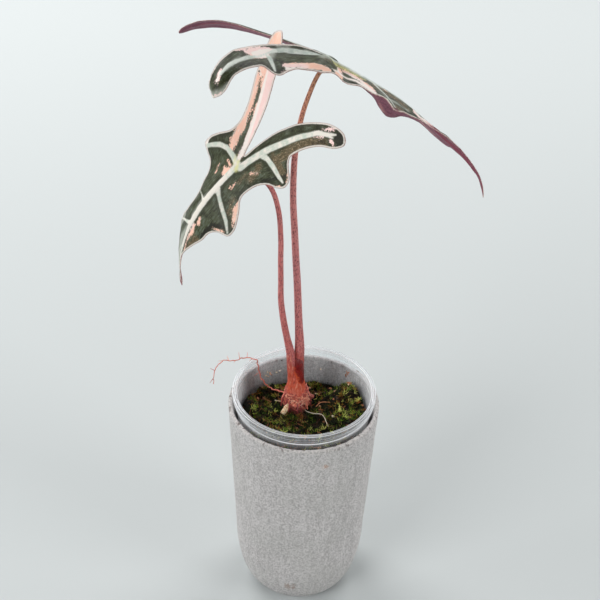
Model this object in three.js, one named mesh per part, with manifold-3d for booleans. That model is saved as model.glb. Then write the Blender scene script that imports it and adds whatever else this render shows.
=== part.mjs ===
// A young variegated Alocasia nobilis in a clear grow cup, which stands inside a slim cement pot.
// Millimetres, +Z up. The origin is the middle of the pot's flat base, on the surface it stands on.
import * as THREE from "three";
import { mergeVertices } from "three/addons/utils/BufferGeometryUtils.js";
import Module from "manifold-3d";

const wasm = await Module();
wasm.setup();

// Driving dimensions

const CLEARANCE = 0.3;
const ROUND_STEPS = 40;

// Outer pot: thin cement-look wall, straight and slightly tapered above a rounded foot
const POT_HEIGHT = 156;
const POT_TOP_RADIUS = 50;
const POT_SHOULDER_RADIUS = 44.8;
const POT_SHOULDER_HEIGHT = 48;
const POT_FOOT_RADIUS = 29;
const POT_WALL = 2.6;
const POT_FLOOR = 14;
const POT_FLOOR_RADIUS = 33;
const POT_LIP_ROUND = 1.0;
const POT_FOOT_THICKENING = 1.4;
const POT_FOOT_STEPS = 7;

// Clear cup: 95 mm across its stacking rim, 1.1 mm wall, standing on the pot's floor
const CUP_RIM_RADIUS = 47.5;
const CUP_RIM_TOP = 166;
const CUP_RIM_BEAD = 3;
const CUP_LIP_RADIUS = 44.3;
const CUP_COLLAR_RADIUS = 46.6;
const CUP_COLLAR_BOTTOM = 158.6;
const CUP_NECK_RADIUS = 45;
const CUP_BASE_RADIUS = 32;
const CUP_WALL = 1.1;
const CUP_BASE = POT_FLOOR + CLEARANCE;

// Growing mix with its moss: rest level, the mounds heaped on it and the small cushions of moss
const MOSS_LEVEL = 139;
const MOSS_SIDE_GAP = 0.45;
const MOSS_RINGS = 12;
const MOSS_SPOKES = 46;
const MOSS_MOUNDS = [
  { at: [31, 19], rise: 13, spread: 12 },
  { at: [40, -4], rise: 9, spread: 11 },
  { at: [-38, 9], rise: 6, spread: 11 },
  { at: [-14, -28], rise: 3, spread: 13 },
  { at: [-4, 40], rise: -4, spread: 10 },
];
const MOSS_CUSHIONS = 110;
const CUSHION_REACH = 42;
const CUSHION_RISE = [1, 3.6];
const CUSHION_SPREAD = [1.9, 3.5];
const MOSS_SEED = 2810;

// Crown: the short rootstock that both petioles grow from, rings of [height, half width, half depth]
const CROWN_AT = [-5, 11];
const CROWN_RINGS = [
  [112, 3.5, 3.5],
  [118, 5.2, 5.2],
  [128, 6.0, 6.0],
  [141, 6.2, 6.2],
  [144.5, 8.0, 7.4],
  [149, 8.5, 7.8],
  [154, 7.8, 7.0],
  [160, 6.6, 6.0],
  [168, 5.7, 5.0],
  [175, 4.6, 4.2],
];
const CROWN_SIDES = 16;
const CROWN_LEAN = 0.06;
const CROWN_LEANS_ABOVE = 150;
const CROWN_HOLE = 6.6;
const CROWN_HOLE_BOTTOM = 111.6;
const CROWN_CLEARING = 14;
const PETIOLE_SEAT = 190.5;

// What is fused to the crown, as [x, y, z, radius]: petiole bases, sheath, a cut stub and an old root end
const FRONT_BASE = [
  [-6.5, 10.2, 150, 3.0],
  [-8.6, 9.0, 172, 2.9],
  [-9.9, 7.6, PETIOLE_SEAT, 2.75],
  [-10.5, 7.2, 195, 2.6],
];
const BACK_BASE = [
  [-5.2, 11.2, 150, 4.0],
  [-4.4, 11.1, 172, 3.6],
  [-4.0, 11.0, PETIOLE_SEAT, 3.3],
  [-4.1, 10.9, 195, 3.1],
];
const SHEATH = [
  [-5.0, 11.0, 152, 5.2],
  [-4.8, 10.6, 168, 4.5],
  [-4.9, 10.2, 177, 4.1],
  [-4.9, 9.9, 181.5, 3.7],
  [-5.0, 9.7, 184.2, 2.9],
  [-5.0, 9.6, 185.8, 1.6],
];
const CUT_STUB = [[-7.5, 8.5, 150, 1.7], [-11, 3.5, 147.2, 1.8], [-14, -0.5, 144.4, 1.7]];
const ROOT_END = [[-1, 11.5, 150, 2.0], [4, 12.2, 149.8, 1.9], [6.6, 12.4, 149.2, 1.3]];
const ROOTLETS = 15;
const ROOTLET_RADIUS = 0.8;
const ROOTLET_REACH = [9.8, 11.6];
const ROOTLET_START = [152, 160];
const ROOT_SEED = 41;

// Front leaf: petiole as [x, y, z, radius], blade joint and the way the blade faces at it
const FRONT_PETIOLE = [
  [-8.9, 8.5, 180, 2.8],
  [-9.9, 7.6, PETIOLE_SEAT, 2.75],
  [-12.3, 5.7, 203.7, 2.3],
  [-14.8, 2.8, 220.3, 2.1],
  [-16.6, -0.5, 238.3, 1.9],
  [-16.9, -3.5, 255.8, 1.75],
  [-17.2, -6.7, 272.9, 1.7],
  [-17.3, -9.8, 289.5, 1.65],
  [-19.0, -14.8, 313.6, 1.55],
  [-23.4, -18.5, 330.5, 1.5],
  [-30.6, -20, 339.7, 1.6],
];
const FRONT_BLADE = {
  joint: [-41.9, -24.3, 348.5],
  yaw: 195.8,
  pitch: -48.7,
  roll: -20.9,
  ribs: [
    { heading: 0, length: 105, bend: [2.7, -9.8, -6.0, 0.2], sway: -0.8, left: [-18.1], right: [-19.6] },
    { heading: 160.3, length: 93.2, bend: [7.4, 5.5, -4.9, -4.9], sway: -5.2, left: [-7.3], right: [-7.3] },
    { heading: 204.6, length: 76.8, bend: [3.1, 4.0, 0.2, -0.3], sway: -0.3, left: [23.3], right: [23.3] },
  ],
};
const FRONT_OUTLINE = [
  [106.6, -7.6], [102, -6.9], [96, -7.3], [88, -6.6], [78, -4.6], [69, -0.8],
  [60, 4.2], [50, 10], [42.5, 12.4], [37.5, 16.8],
  [34.2, 23.6], [27.5, 24.4], [19, 20.4], [11.5, 15.2], [5.5, 15.6], [-1, 18.6], [-6.5, 24.5], [-9.5, 31],
  [-14, 36.2], [-20.5, 37.2], [-25.5, 32.6], [-29.5, 31.2], [-38, 36.5], [-51, 49.5], [-58, 60.3],
  [-63.5, 64], [-67, 60], [-65, 49], [-56, 34.8], [-43, 19.8], [-28, 7.4], [-16, 1.8], [-6.5, -0.8],
  [-16, -3.2], [-29, -5.4], [-40, -7.8], [-51, -11.7], [-62, -16.5], [-70, -22], [-73, -27.5], [-70, -32],
  [-64, -32.4], [-55, -30], [-45, -27.3], [-36, -23.5], [-27, -19.8], [-17, -17.4], [-10, -18.4],
  [-4, -23.5], [2, -28.6], [8, -31], [11, -27.6], [13, -22.5], [18, -18.8], [24, -16.8], [31, -13],
  [37, -12.8], [46, -15], [54, -17.6], [59, -18.2], [64, -15.6], [72, -14.2],
  [82, -13.8], [91, -13.2], [97.5, -10.8], [103, -9.1],
];

// The thick drip tip of the front leaf, as [x, y, radius] in the flat drawing
const FRONT_TIP = [[92, -10.6, 0.9], [99, -9.2, 0.9], [106.2, -7.5, 0.6]];

// Back leaf, the same way
const BACK_PETIOLE = [
  [-4.2, 11.1, 180, 3.4],
  [-4.0, 11, PETIOLE_SEAT, 3.3],
  [-4.2, 10.8, 198.4, 3.0],
  [-5.0, 10.4, 212, 2.6],
  [-6.9, 8.9, 247.5, 2.35],
  [-8.0, 7.8, 263.4, 2.25],
  [-9.4, 6.2, 286.5, 2.15],
  [-10.7, 4.8, 308.7, 2.0],
  [-10.8, 3.3, 330.2, 1.9],
  [-10.0, 2.3, 345.5, 1.75],
  [-7.5, 1.1, 364.6, 1.5],
  [-3.8, 0.4, 379.5, 1.35],
  [1.8, -0.5, 394.8, 1.25],
];
const BACK_BLADE = {
  joint: [8.1, -1, 404],
  yaw: -10.9,
  pitch: -21.8,
  roll: -20.9,
  ribs: [
    { heading: 0, length: 118, bend: [-3.4, 0.1, -8.7, 1.4, -8.9, -24.7], twist: [-21.7, -6.1, 7.8, 7],
      sway: 0, left: [-9.3, 41.4, 30.3], right: [-58.2, -69.9, 13.6] },
    { heading: 155, length: 94.7, bend: [-6.8, -1.1, -1.3, -14.8, -21.6], twist: [6.7, 3.3, 1.8],
      sway: 1.6, left: [-28.2], right: [3.6, 20] },
    { heading: 205, length: 104.2, bend: [-16.8, 3.5, 9.1, -32.2, -40.4], twist: [-11.1, -0, 16.8],
      sway: 6.3, left: [33.4, -38.5], right: [42.7, -53.3] },
  ],
};
const BACK_OUTLINE = [
  [118, 0], [110, 3.2], [98.7, 4.4], [88.9, 9.1], [82.8, 7.6], [78.3, 12.7], [70, 11.9], [61.6, 11.1],
  [54, 14], [49, 19], [46.5, 26], [42.8, 29.7], [36.5, 22.5], [30.5, 15.5], [21, 13], [10, 14.4], [0, 22],
  [-8, 28], [-15, 30.4], [-22, 29.2], [-27, 25.6], [-33, 24.6], [-42, 27], [-54, 29.6], [-70, 32],
  [-82, 32], [-89, 29.6], [-89, 26.9], [-86, 20.5], [-76, 17.2], [-60, 13.4], [-39.3, 8.2], [-21, 3],
  [-7, 0], [-14, -2.4], [-21.4, -5.6], [-36.9, -18.3], [-47.9, -33.1], [-56, -52.2], [-59.8, -65.1],
  [-61.2, -70.6], [-58.6, -74.2], [-53.6, -75.1], [-48.9, -73.2], [-46.5, -69.4], [-45.6, -64.6],
  [-44.6, -60],
  [-42.4, -54.8], [-38.3, -46.2], [-33.1, -37.1], [-30, -36.6], [-25.2, -37], [-22, -35.8], [-19.2, -31.2],
  [-15, -27.8], [-8.7, -27.7], [0, -26.9], [9.1, -19], [20.3, -12.3], [30, -15.4], [36.5, -15],
  [40.5, -20], [46.6, -26], [53.9, -17.6], [60.8, -11], [66, -10.3], [72.7, -17.1], [78.5, -13.9],
  [91.2, -6.6], [101.3, -4], [110, -3],
];

// Blades: thickness at the margin, swelling over a rib, spacing of the mesh and how the halves fold
const BLADE_THICKNESS = 0.8;
const RIB_SWELLING = 0.9;
const RIB_SPREAD = 2.4;
const BLADE_MESH = 3.6;
const OUTLINE_STEP = 1.0;
const FOLD_ROUND = 1.5;
const RIB_STEP = 1.0;
const RIB_HOLD = 0.22;
const MARGIN_SNAP = 0.3;
const TIP_SIDES = 6;
const TIP_STEPS = 5;
const NORMAL_NUDGE = 0.4;

// Petioles: sides and steps of the rod, and how far below each blade its last bend starts
const PETIOLE_SIDES = 10;
const PETIOLE_STEPS = 34;
const FRONT_TURN = 9;
const BACK_TURN = 3;

// A thin loose root that climbs out of the cup and hangs over its rim
const LOOSE_ROOT_RADIUS = 0.55;
const LOOSE_ROOT = [
  [-13.1, 16.0, 149.2], [-17.6, 19.6, 147.4], [-21.5, 22, 146.8], [-27, 24.5, 149.5], [-30.6, 26.6, 156],
  [-31.6, 27.2, 163],
  [-33.1, 27.6, 167.4], [-37, 28.2, 168.6], [-41.8, 26.4, 169], [-49, 22.1, 170], [-55.6, 20.5, 171],
  [-58.7, 17.5, 169], [-60.5, 13.8, 165], [-61, 10.6, 159],
];

const COLOURS = {
  cement: { color: 0xb4b1b0, roughness: 0.92 },
  clear_plastic: { color: 0xdfe6ea, roughness: 0.12 },
  moss: { color: 0x3c3a18, roughness: 1.0 },
  crown: { color: 0xb0554a, roughness: 0.7 },
  petiole: { color: 0xa3564c, roughness: 0.55 },
  blade: { color: 0x4d5642, roughness: 0.5 },
  root: { color: 0xb98a78, roughness: 0.8 },
};

// Small mathematics

const radians = THREE.MathUtils.degToRad;

function vector(numbers) {
  return new THREE.Vector3(numbers[0], numbers[1], numbers[2]);
}

// The value at a share, 0 to 1, of a run of equally spaced stations
function along(stations, share) {
  const place = Math.min(Math.max(share, 0), 1) * (stations.length - 1);
  const low = Math.min(Math.floor(place), Math.max(stations.length - 2, 0));
  const high = Math.min(low + 1, stations.length - 1);
  return THREE.MathUtils.lerp(stations[low], stations[high], place - low);
}

// A repeatable random number maker, 0 to 1
function seeded(seed) {
  let state = seed;
  return () => {
    state = (state + 0x6d2b79f5) | 0;
    let mixed = Math.imul(state ^ (state >>> 15), 1 | state);
    mixed = (mixed + Math.imul(mixed ^ (mixed >>> 7), 61 | mixed)) ^ mixed;
    return ((mixed ^ (mixed >>> 14)) >>> 0) / 4294967296;
  };
}

// Solids

function geometryOf(positions, triangles) {
  const geometry = new THREE.BufferGeometry();
  geometry.setAttribute("position", new THREE.Float32BufferAttribute(positions, 3));
  geometry.setIndex(triangles);
  return geometry;
}

function solidOf(geometry) {
  const bare = geometry.clone();
  bare.deleteAttribute("normal");
  bare.deleteAttribute("uv");
  const merged = mergeVertices(bare, 1e-4);
  const mesh = new wasm.Mesh({
    numProp: 3,
    vertProperties: new Float32Array(merged.attributes.position.array),
    triVerts: new Uint32Array(merged.index.array),
  });
  return new wasm.Manifold(mesh);
}

function geometryFrom(solid) {
  const mesh = solid.getMesh();
  const positions = [];
  for (let i = 0; i < mesh.numVert; i += 1) {
    positions.push(...mesh.vertProperties.subarray(i * mesh.numProp, i * mesh.numProp + 3));
  }
  return geometryOf(positions, [...mesh.triVerts]);
}

function joined(geometries) {
  return geometryFrom(geometries.map(solidOf).reduce((whole, piece) => whole.add(piece)));
}

function cut(geometry, tool) {
  return geometryFrom(solidOf(geometry).subtract(solidOf(tool)));
}

// What lies above a level, or below it
function above(geometry, height) {
  return geometryFrom(solidOf(geometry).trimByPlane([0, 0, 1], height));
}

function below(geometry, height) {
  return geometryFrom(solidOf(geometry).trimByPlane([0, 0, -1], -height));
}

// A turned solid: [radius, height] points from the axis round the section and back to the axis
function turned(profile, steps = ROUND_STEPS) {
  const points = profile.map(([radius, height]) => new THREE.Vector2(radius, height));
  const geometry = new THREE.LatheGeometry(points, steps);
  geometry.rotateX(Math.PI / 2);
  return geometry;
}

// A closed solid from rings of as many points each, bottom first, anticlockwise from above
function lofted(rings) {
  const count = rings[0].length;
  const positions = rings.flat().flatMap((point) => [point.x, point.y, point.z]);
  const triangles = [];
  for (let row = 0; row < rings.length - 1; row += 1) {
    for (let i = 0; i < count; i += 1) {
      const next = (i + 1) % count;
      const low = row * count;
      const high = low + count;
      triangles.push(low + i, low + next, high + next, low + i, high + next, high + i);
    }
  }
  const top = (rings.length - 1) * count;
  for (let i = 1; i < count - 1; i += 1) {
    triangles.push(0, i + 1, i);
    triangles.push(top, top + i, top + i + 1);
  }
  return geometryOf(positions, triangles);
}

// A round rod along a smooth curve through [x, y, z, radius] stations
function rod(stations, sides, steps) {
  const curve = new THREE.CatmullRomCurve3(stations.map(vector), false, "centripetal");
  const frames = curve.computeFrenetFrames(steps, false);
  const rings = [];
  for (let i = 0; i <= steps; i += 1) {
    const share = curve.getUtoTmapping(i / steps);
    const middle = curve.getPoint(share);
    const radius = along(stations.map((station) => station[3]), share);
    const ring = [];
    for (let side = 0; side < sides; side += 1) {
      const turn = (2 * Math.PI * side) / sides;
      ring.push(
        middle
          .clone()
          .addScaledVector(frames.normals[i], radius * Math.cos(turn))
          .addScaledVector(frames.binormals[i], radius * Math.sin(turn)),
      );
    }
    rings.push(ring);
  }
  return lofted(rings);
}

// Pot and cup

function potGeometry() {
  const outside = [[0, 0]];
  const inside = [];
  const footRun = POT_SHOULDER_RADIUS - POT_FOOT_RADIUS;
  const innerShoulder = POT_SHOULDER_RADIUS - POT_WALL - POT_FOOT_THICKENING;
  const innerRun = innerShoulder - POT_FLOOR_RADIUS;
  for (let i = 0; i <= POT_FOOT_STEPS; i += 1) {
    const turn = ((Math.PI / 2) * i) / POT_FOOT_STEPS;
    outside.push([
      POT_FOOT_RADIUS + footRun * Math.sin(turn),
      POT_SHOULDER_HEIGHT * (1 - Math.cos(turn)),
    ]);
    inside.unshift([
      POT_FLOOR_RADIUS + innerRun * Math.sin(turn),
      POT_FLOOR + (POT_SHOULDER_HEIGHT - POT_FLOOR) * (1 - Math.cos(turn)),
    ]);
  }
  const lip = [
    [POT_TOP_RADIUS - 0.05, POT_HEIGHT - POT_LIP_ROUND],
    [POT_TOP_RADIUS - POT_LIP_ROUND * 0.35, POT_HEIGHT - POT_LIP_ROUND * 0.3],
    [POT_TOP_RADIUS - POT_LIP_ROUND, POT_HEIGHT],
    [POT_TOP_RADIUS - POT_WALL + 0.5, POT_HEIGHT],
    [POT_TOP_RADIUS - POT_WALL, POT_HEIGHT - POT_LIP_ROUND],
  ];
  return turned([...outside, ...lip, ...inside, [0, POT_FLOOR]]);
}

// The cup's inside radius at a height
function cupInside(height) {
  const share = (height - CUP_BASE) / (CUP_COLLAR_BOTTOM - CUP_BASE);
  return THREE.MathUtils.lerp(CUP_BASE_RADIUS, CUP_NECK_RADIUS, share) - CUP_WALL;
}

function cupGeometry() {
  const neck = CUP_COLLAR_BOTTOM - 0.4;
  const beadBottom = CUP_RIM_TOP - CUP_RIM_BEAD;
  const innerStep = CUP_COLLAR_BOTTOM - 1.5;
  return turned([
    [0, CUP_BASE],
    [CUP_BASE_RADIUS - 1.5, CUP_BASE],
    [CUP_BASE_RADIUS, CUP_BASE + 1.5],
    [CUP_NECK_RADIUS, neck],
    [CUP_COLLAR_RADIUS, CUP_COLLAR_BOTTOM],
    [CUP_COLLAR_RADIUS, beadBottom - 0.4],
    [CUP_RIM_RADIUS, beadBottom],
    [CUP_RIM_RADIUS, CUP_RIM_TOP - 0.8],
    [CUP_RIM_RADIUS - 0.8, CUP_RIM_TOP],
    [CUP_LIP_RADIUS + 0.7, CUP_RIM_TOP],
    [CUP_LIP_RADIUS, CUP_RIM_TOP - 0.8],
    [CUP_LIP_RADIUS - 0.1, beadBottom],
    [cupInside(innerStep) + 0.25, CUP_COLLAR_BOTTOM],
    [cupInside(innerStep), innerStep],
    [cupInside(CUP_BASE + 3), CUP_BASE + 3],
    [cupInside(CUP_BASE) - 1.5, CUP_BASE + CUP_WALL],
    [0, CUP_BASE + CUP_WALL],
  ]);
}

// Moss and growing mix

function mossCushions() {
  const random = seeded(MOSS_SEED);
  return Array.from({ length: MOSS_CUSHIONS }, () => {
    const reach = CUSHION_REACH * Math.sqrt(random());
    const turn = 2 * Math.PI * random();
    return {
      at: [reach * Math.cos(turn), reach * Math.sin(turn)],
      rise: along(CUSHION_RISE, random()),
      spread: along(CUSHION_SPREAD, random()),
    };
  });
}

function mossHeight(x, y, heaps) {
  const fromCrown = Math.hypot(x - CROWN_AT[0], y - CROWN_AT[1]);
  const open = THREE.MathUtils.smoothstep(fromCrown, CROWN_HOLE + 1, CROWN_CLEARING + 6);
  const rise = heaps.reduce((sum, heap) => {
    const away = Math.hypot(x - heap.at[0], y - heap.at[1]) / heap.spread;
    return sum + heap.rise * Math.exp(-away * away);
  }, 0);
  return MOSS_LEVEL + open * rise;
}

function mossGeometry() {
  const heaps = [...MOSS_MOUNDS, ...mossCushions()];
  const bottom = CUP_BASE + CUP_WALL + CLEARANCE;
  const ringAt = (radiusOf, heightOf) =>
    Array.from({ length: MOSS_SPOKES }, (_, i) => {
      const turn = (2 * Math.PI * i) / MOSS_SPOKES;
      const radius = radiusOf(turn);
      const x = radius * Math.cos(turn);
      const y = radius * Math.sin(turn);
      return new THREE.Vector3(x, y, heightOf(x, y));
    });
  const wallRadius = (height) => cupInside(height) - MOSS_SIDE_GAP;
  const rings = [
    ringAt(() => wallRadius(bottom + 3) - 3, () => bottom),
    ringAt(() => wallRadius(bottom + 3), () => bottom + 3),
    ringAt(() => wallRadius(MOSS_LEVEL - 8), () => MOSS_LEVEL - 8),
  ];
  const rim = wallRadius(MOSS_LEVEL - 2);
  for (let ring = 0; ring < MOSS_RINGS; ring += 1) {
    const radius = rim * (1 - ring / MOSS_RINGS);
    rings.push(ringAt(() => radius, (x, y) => mossHeight(x, y, heaps)));
  }
  const hole = turned([
    [0, CROWN_HOLE_BOTTOM],
    [CROWN_HOLE, CROWN_HOLE_BOTTOM],
    [CROWN_HOLE, CUP_RIM_TOP],
    [0, CUP_RIM_TOP],
  ], 16);
  hole.translate(CROWN_AT[0], CROWN_AT[1], 0);
  return cut(lofted(rings), hole);
}

// Crown with the bases of both petioles, the torn sheath and the mat of short roots

function rootlet(turn, reach, start) {
  const at = (radius, height, size) => [
    CROWN_AT[0] + radius * Math.cos(turn),
    CROWN_AT[1] + radius * Math.sin(turn),
    height,
    size,
  ];
  return rod([
    at(3, start, ROOTLET_RADIUS),
    at(8.6, start - 3.5, ROOTLET_RADIUS),
    at(reach - 1, 147.5, ROOTLET_RADIUS),
    at(reach, 144.6, ROOTLET_RADIUS * 0.7),
  ], 5, 4);
}

function crownGeometry() {
  const body = lofted(
    CROWN_RINGS.map(([height, halfWidth, halfDepth]) =>
      Array.from({ length: CROWN_SIDES }, (_, i) => {
        const turn = (2 * Math.PI * i) / CROWN_SIDES;
        const lean = Math.max(height - CROWN_LEANS_ABOVE, 0) * CROWN_LEAN;
        return new THREE.Vector3(
          CROWN_AT[0] + halfWidth * Math.cos(turn) - lean,
          CROWN_AT[1] + halfDepth * Math.sin(turn),
          height,
        );
      }),
    ),
  );
  const random = seeded(ROOT_SEED);
  const rootlets = Array.from({ length: ROOTLETS }, (_, i) => {
    const turn = (2 * Math.PI * (i + 0.6 * random())) / ROOTLETS;
    return rootlet(turn, along(ROOTLET_REACH, random()), along(ROOTLET_START, random()));
  });
  const fused = [
    body,
    rod(FRONT_BASE, 12, 6),
    rod(BACK_BASE, 12, 6),
    rod(SHEATH, 12, 8),
    rod(CUT_STUB, 8, 3),
    rod(ROOT_END, 7, 3),
    ...rootlets,
  ];
  return below(joined(fused), PETIOLE_SEAT);
}

// Leaves

// Axes at the joint: towards the tip, to the left and out of the upper face
function bladeAxes(blade) {
  const yaw = radians(blade.yaw);
  const pitch = radians(blade.pitch);
  const roll = radians(blade.roll);
  const tip = new THREE.Vector3(
    Math.cos(yaw) * Math.cos(pitch),
    Math.sin(yaw) * Math.cos(pitch),
    Math.sin(pitch),
  );
  const level = new THREE.Vector3(-Math.sin(yaw), Math.cos(yaw), 0);
  const square = tip.clone().cross(level);
  const left = level.multiplyScalar(Math.cos(roll)).addScaledVector(square, Math.sin(roll));
  return { tip, left, up: tip.clone().cross(left) };
}

// A rib walked out in small steps, in space and in the flat drawing at once
function ribWalk(rib, joint, axes) {
  const heading = radians(rib.heading);
  const count = Math.ceil(rib.length / RIB_STEP);
  const step = rib.length / count;
  const { tip, left } = axes;
  let ahead = tip.clone().multiplyScalar(Math.cos(heading)).addScaledVector(left, Math.sin(heading));
  let side = left.clone().multiplyScalar(Math.cos(heading)).addScaledVector(tip, -Math.sin(heading));
  let up = axes.up.clone();
  let point = joint.clone();
  let flat = new THREE.Vector2(0, 0);
  let turn = heading;
  const walk = [{ point, ahead, side, up, flat, turn }];
  for (let i = 0; i < count; i += 1) {
    const share = (i + 0.5) / count;
    const bend = (radians(along(rib.bend, share)) / 10) * step;
    const twist = (radians(along(rib.twist ?? [0], share)) / 10) * step;
    const sway = (radians(rib.sway) / 10) * step;
    const newAhead = ahead.clone().addScaledVector(up, bend).addScaledVector(side, sway).normalize();
    const newSide = side.clone().addScaledVector(ahead, -sway).addScaledVector(up, twist);
    newSide.addScaledVector(newAhead, -newSide.dot(newAhead)).normalize();
    point = point.clone().addScaledVector(ahead.clone().add(newAhead).normalize(), step);
    const middle = turn + sway / 2;
    flat = new THREE.Vector2(flat.x + Math.cos(middle) * step, flat.y + Math.sin(middle) * step);
    turn += sway;
    ahead = newAhead;
    side = newSide;
    up = newAhead.clone().cross(newSide);
    walk.push({ point, ahead, side, up, flat, turn });
  }
  return walk;
}

// Where a point of the flat drawing lies in space when the blade follows one rib alone
function onRib(rib, walk, x, y) {
  let nearest = 0;
  let best = Infinity;
  walk.forEach(({ flat }, i) => {
    const away = (x - flat.x) ** 2 + (y - flat.y) ** 2;
    if (away < best) {
      best = away;
      nearest = i;
    }
  });
  const station = walk[nearest];
  const dx = x - station.flat.x;
  const dy = y - station.flat.y;
  const forward = dx * Math.cos(station.turn) + dy * Math.sin(station.turn);
  const across = -dx * Math.sin(station.turn) + dy * Math.cos(station.turn);
  const rise = radians(along(across >= 0 ? rib.left : rib.right, nearest / (walk.length - 1)));
  const reach = Math.hypot(across, FOLD_ROUND) - FOLD_ROUND;
  const place = station.point
    .clone()
    .addScaledVector(station.ahead, forward)
    .addScaledVector(station.side, across * Math.cos(rise))
    .addScaledVector(station.up, reach * Math.sin(rise));
  return { place, across, forward, nearest };
}

// The blade's middle surface, a blend of the two ribs on either side of a point
function bladeSurface(blade) {
  const joint = vector(blade.joint);
  const axes = bladeAxes(blade);
  const walks = blade.ribs.map((rib) => ribWalk(rib, joint, axes));
  const count = blade.ribs.length;
  return (x, y) => {
    const bearing = (THREE.MathUtils.radToDeg(Math.atan2(y, x)) + 360) % 360;
    let first = count - 1;
    while (first > 0 && bearing < blade.ribs[first].heading) {
      first -= 1;
    }
    const second = (first + 1) % count;
    const from = blade.ribs[first].heading;
    const to = second ? blade.ribs[second].heading : 360;
    const share = THREE.MathUtils.smoothstep((bearing - from) / (to - from), RIB_HOLD, 1 - RIB_HOLD);
    const one = onRib(blade.ribs[first], walks[first], x, y);
    const two = onRib(blade.ribs[second], walks[second], x, y);
    const ribDistance = Math.min(...[one, two].map((found) => Math.hypot(found.across, found.forward)));
    return { place: one.place.lerp(two.place, share), ribDistance };
  };
}

// Closed smooth outline through the named points, as short straight steps
function smoothOutline(points) {
  const corners = points.map(([x, y]) => new THREE.Vector3(x, y, 0));
  const curve = new THREE.CatmullRomCurve3(corners, true, "centripetal");
  return curve.getSpacedPoints(Math.round(curve.getLength() / OUTLINE_STEP)).slice(0, -1);
}

// Nearest outline point, and the distance to it, positive inside
function depthInside(outline, x, y) {
  let best = Infinity;
  let edge = null;
  let inside = false;
  outline.forEach((a, i) => {
    const b = outline[(i + 1) % outline.length];
    const dx = b.x - a.x;
    const dy = b.y - a.y;
    const share = THREE.MathUtils.clamp(((x - a.x) * dx + (y - a.y) * dy) / (dx * dx + dy * dy), 0, 1);
    const px = a.x + share * dx;
    const py = a.y + share * dy;
    const away = Math.hypot(x - px, y - py);
    if (away < best) {
      best = away;
      edge = [px, py];
    }
    if (a.y > y !== b.y > y && x < a.x + (dx * (y - a.y)) / dy) {
      inside = !inside;
    }
  });
  return { depth: inside ? best : -best, edge };
}

// Triangles of an even lattice, fitted to the outline at its margin
function flatMesh(outline) {
  const rowStep = (BLADE_MESH * Math.sqrt(3)) / 2;
  const xs = outline.map((point) => point.x);
  const ys = outline.map((point) => point.y);
  const columns = Math.ceil((Math.max(...xs) - Math.min(...xs)) / BLADE_MESH) + 3;
  const rows = Math.ceil((Math.max(...ys) - Math.min(...ys)) / rowStep) + 3;
  const nodes = [];
  for (let row = 0; row < rows; row += 1) {
    for (let column = 0; column < columns; column += 1) {
      const x = Math.min(...xs) + (column - 1 + (row % 2) / 2) * BLADE_MESH;
      const y = Math.min(...ys) + (row - 1) * rowStep;
      const { depth, edge } = depthInside(outline, x, y);
      const snapped = Math.abs(depth) < BLADE_MESH * MARGIN_SNAP;
      nodes.push(snapped ? { x: edge[0], y: edge[1], depth: 0 } : { x, y, depth });
    }
  }
  const cuts = new Map();
  const cutBetween = (a, b) => {
    const key = a < b ? `${a},${b}` : `${b},${a}`;
    if (!cuts.has(key)) {
      const share = nodes[a].depth / (nodes[a].depth - nodes[b].depth);
      const x = THREE.MathUtils.lerp(nodes[a].x, nodes[b].x, share);
      const y = THREE.MathUtils.lerp(nodes[a].y, nodes[b].y, share);
      const { edge } = depthInside(outline, x, y);
      cuts.set(key, nodes.push({ x: edge[0], y: edge[1], depth: 0 }) - 1);
    }
    return cuts.get(key);
  };
  const triangles = [];
  const keep = (corners) => {
    if (!corners.some((corner) => nodes[corner].depth > 0)) {
      return;
    }
    const kept = [];
    corners.forEach((corner, i) => {
      const next = corners[(i + 1) % 3];
      if (nodes[corner].depth >= 0) {
        kept.push(corner);
      }
      if (nodes[corner].depth * nodes[next].depth < 0) {
        kept.push(cutBetween(corner, next));
      }
    });
    for (let i = 1; i < kept.length - 1; i += 1) {
      triangles.push([kept[0], kept[i], kept[i + 1]]);
    }
  };
  for (let row = 0; row < rows - 1; row += 1) {
    for (let column = 0; column < columns - 1; column += 1) {
      const a = row * columns + column;
      const beyond = a + columns;
      if (row % 2) {
        keep([a, a + 1, beyond + 1]);
        keep([a, beyond + 1, beyond]);
      } else {
        keep([a, a + 1, beyond]);
        keep([a + 1, beyond + 1, beyond]);
      }
    }
  }
  return { nodes, triangles };
}

function bladeGeometry(blade, points) {
  const { nodes, triangles } = flatMesh(smoothOutline(points));
  const surface = bladeSurface(blade);
  const used = [...new Set(triangles.flat())];
  const order = new Map(used.map((node, i) => [node, i]));
  const positions = [];
  const undersides = [];
  used.forEach((node) => {
    const { x, y } = nodes[node];
    const { place, ribDistance } = surface(x, y);
    const forward = surface(x + NORMAL_NUDGE, y).place.sub(surface(x - NORMAL_NUDGE, y).place);
    const leftward = surface(x, y + NORMAL_NUDGE).place.sub(surface(x, y - NORMAL_NUDGE).place);
    const normal = forward.cross(leftward).normalize();
    const swelling = RIB_SWELLING * Math.exp(-((ribDistance / RIB_SPREAD) ** 2));
    const upper = place.clone().addScaledVector(normal, BLADE_THICKNESS / 2);
    const under = place.clone().addScaledVector(normal, -BLADE_THICKNESS / 2 - swelling);
    positions.push(upper.x, upper.y, upper.z);
    undersides.push(under.x, under.y, under.z);
  });
  const faces = triangles.map((corners) => corners.map((corner) => order.get(corner)));
  const edges = new Set(faces.flatMap(([a, b, c]) => [`${a},${b}`, `${b},${c}`, `${c},${a}`]));
  const indices = faces.flatMap(([a, b, c]) => [a, b, c, a + used.length, c + used.length, b + used.length]);
  edges.forEach((edge) => {
    const [a, b] = edge.split(",").map(Number);
    if (!edges.has(`${b},${a}`)) {
      indices.push(a, b + used.length, b, a, a + used.length, b + used.length);
    }
  });
  return geometryOf([...positions, ...undersides], indices);
}

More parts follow.
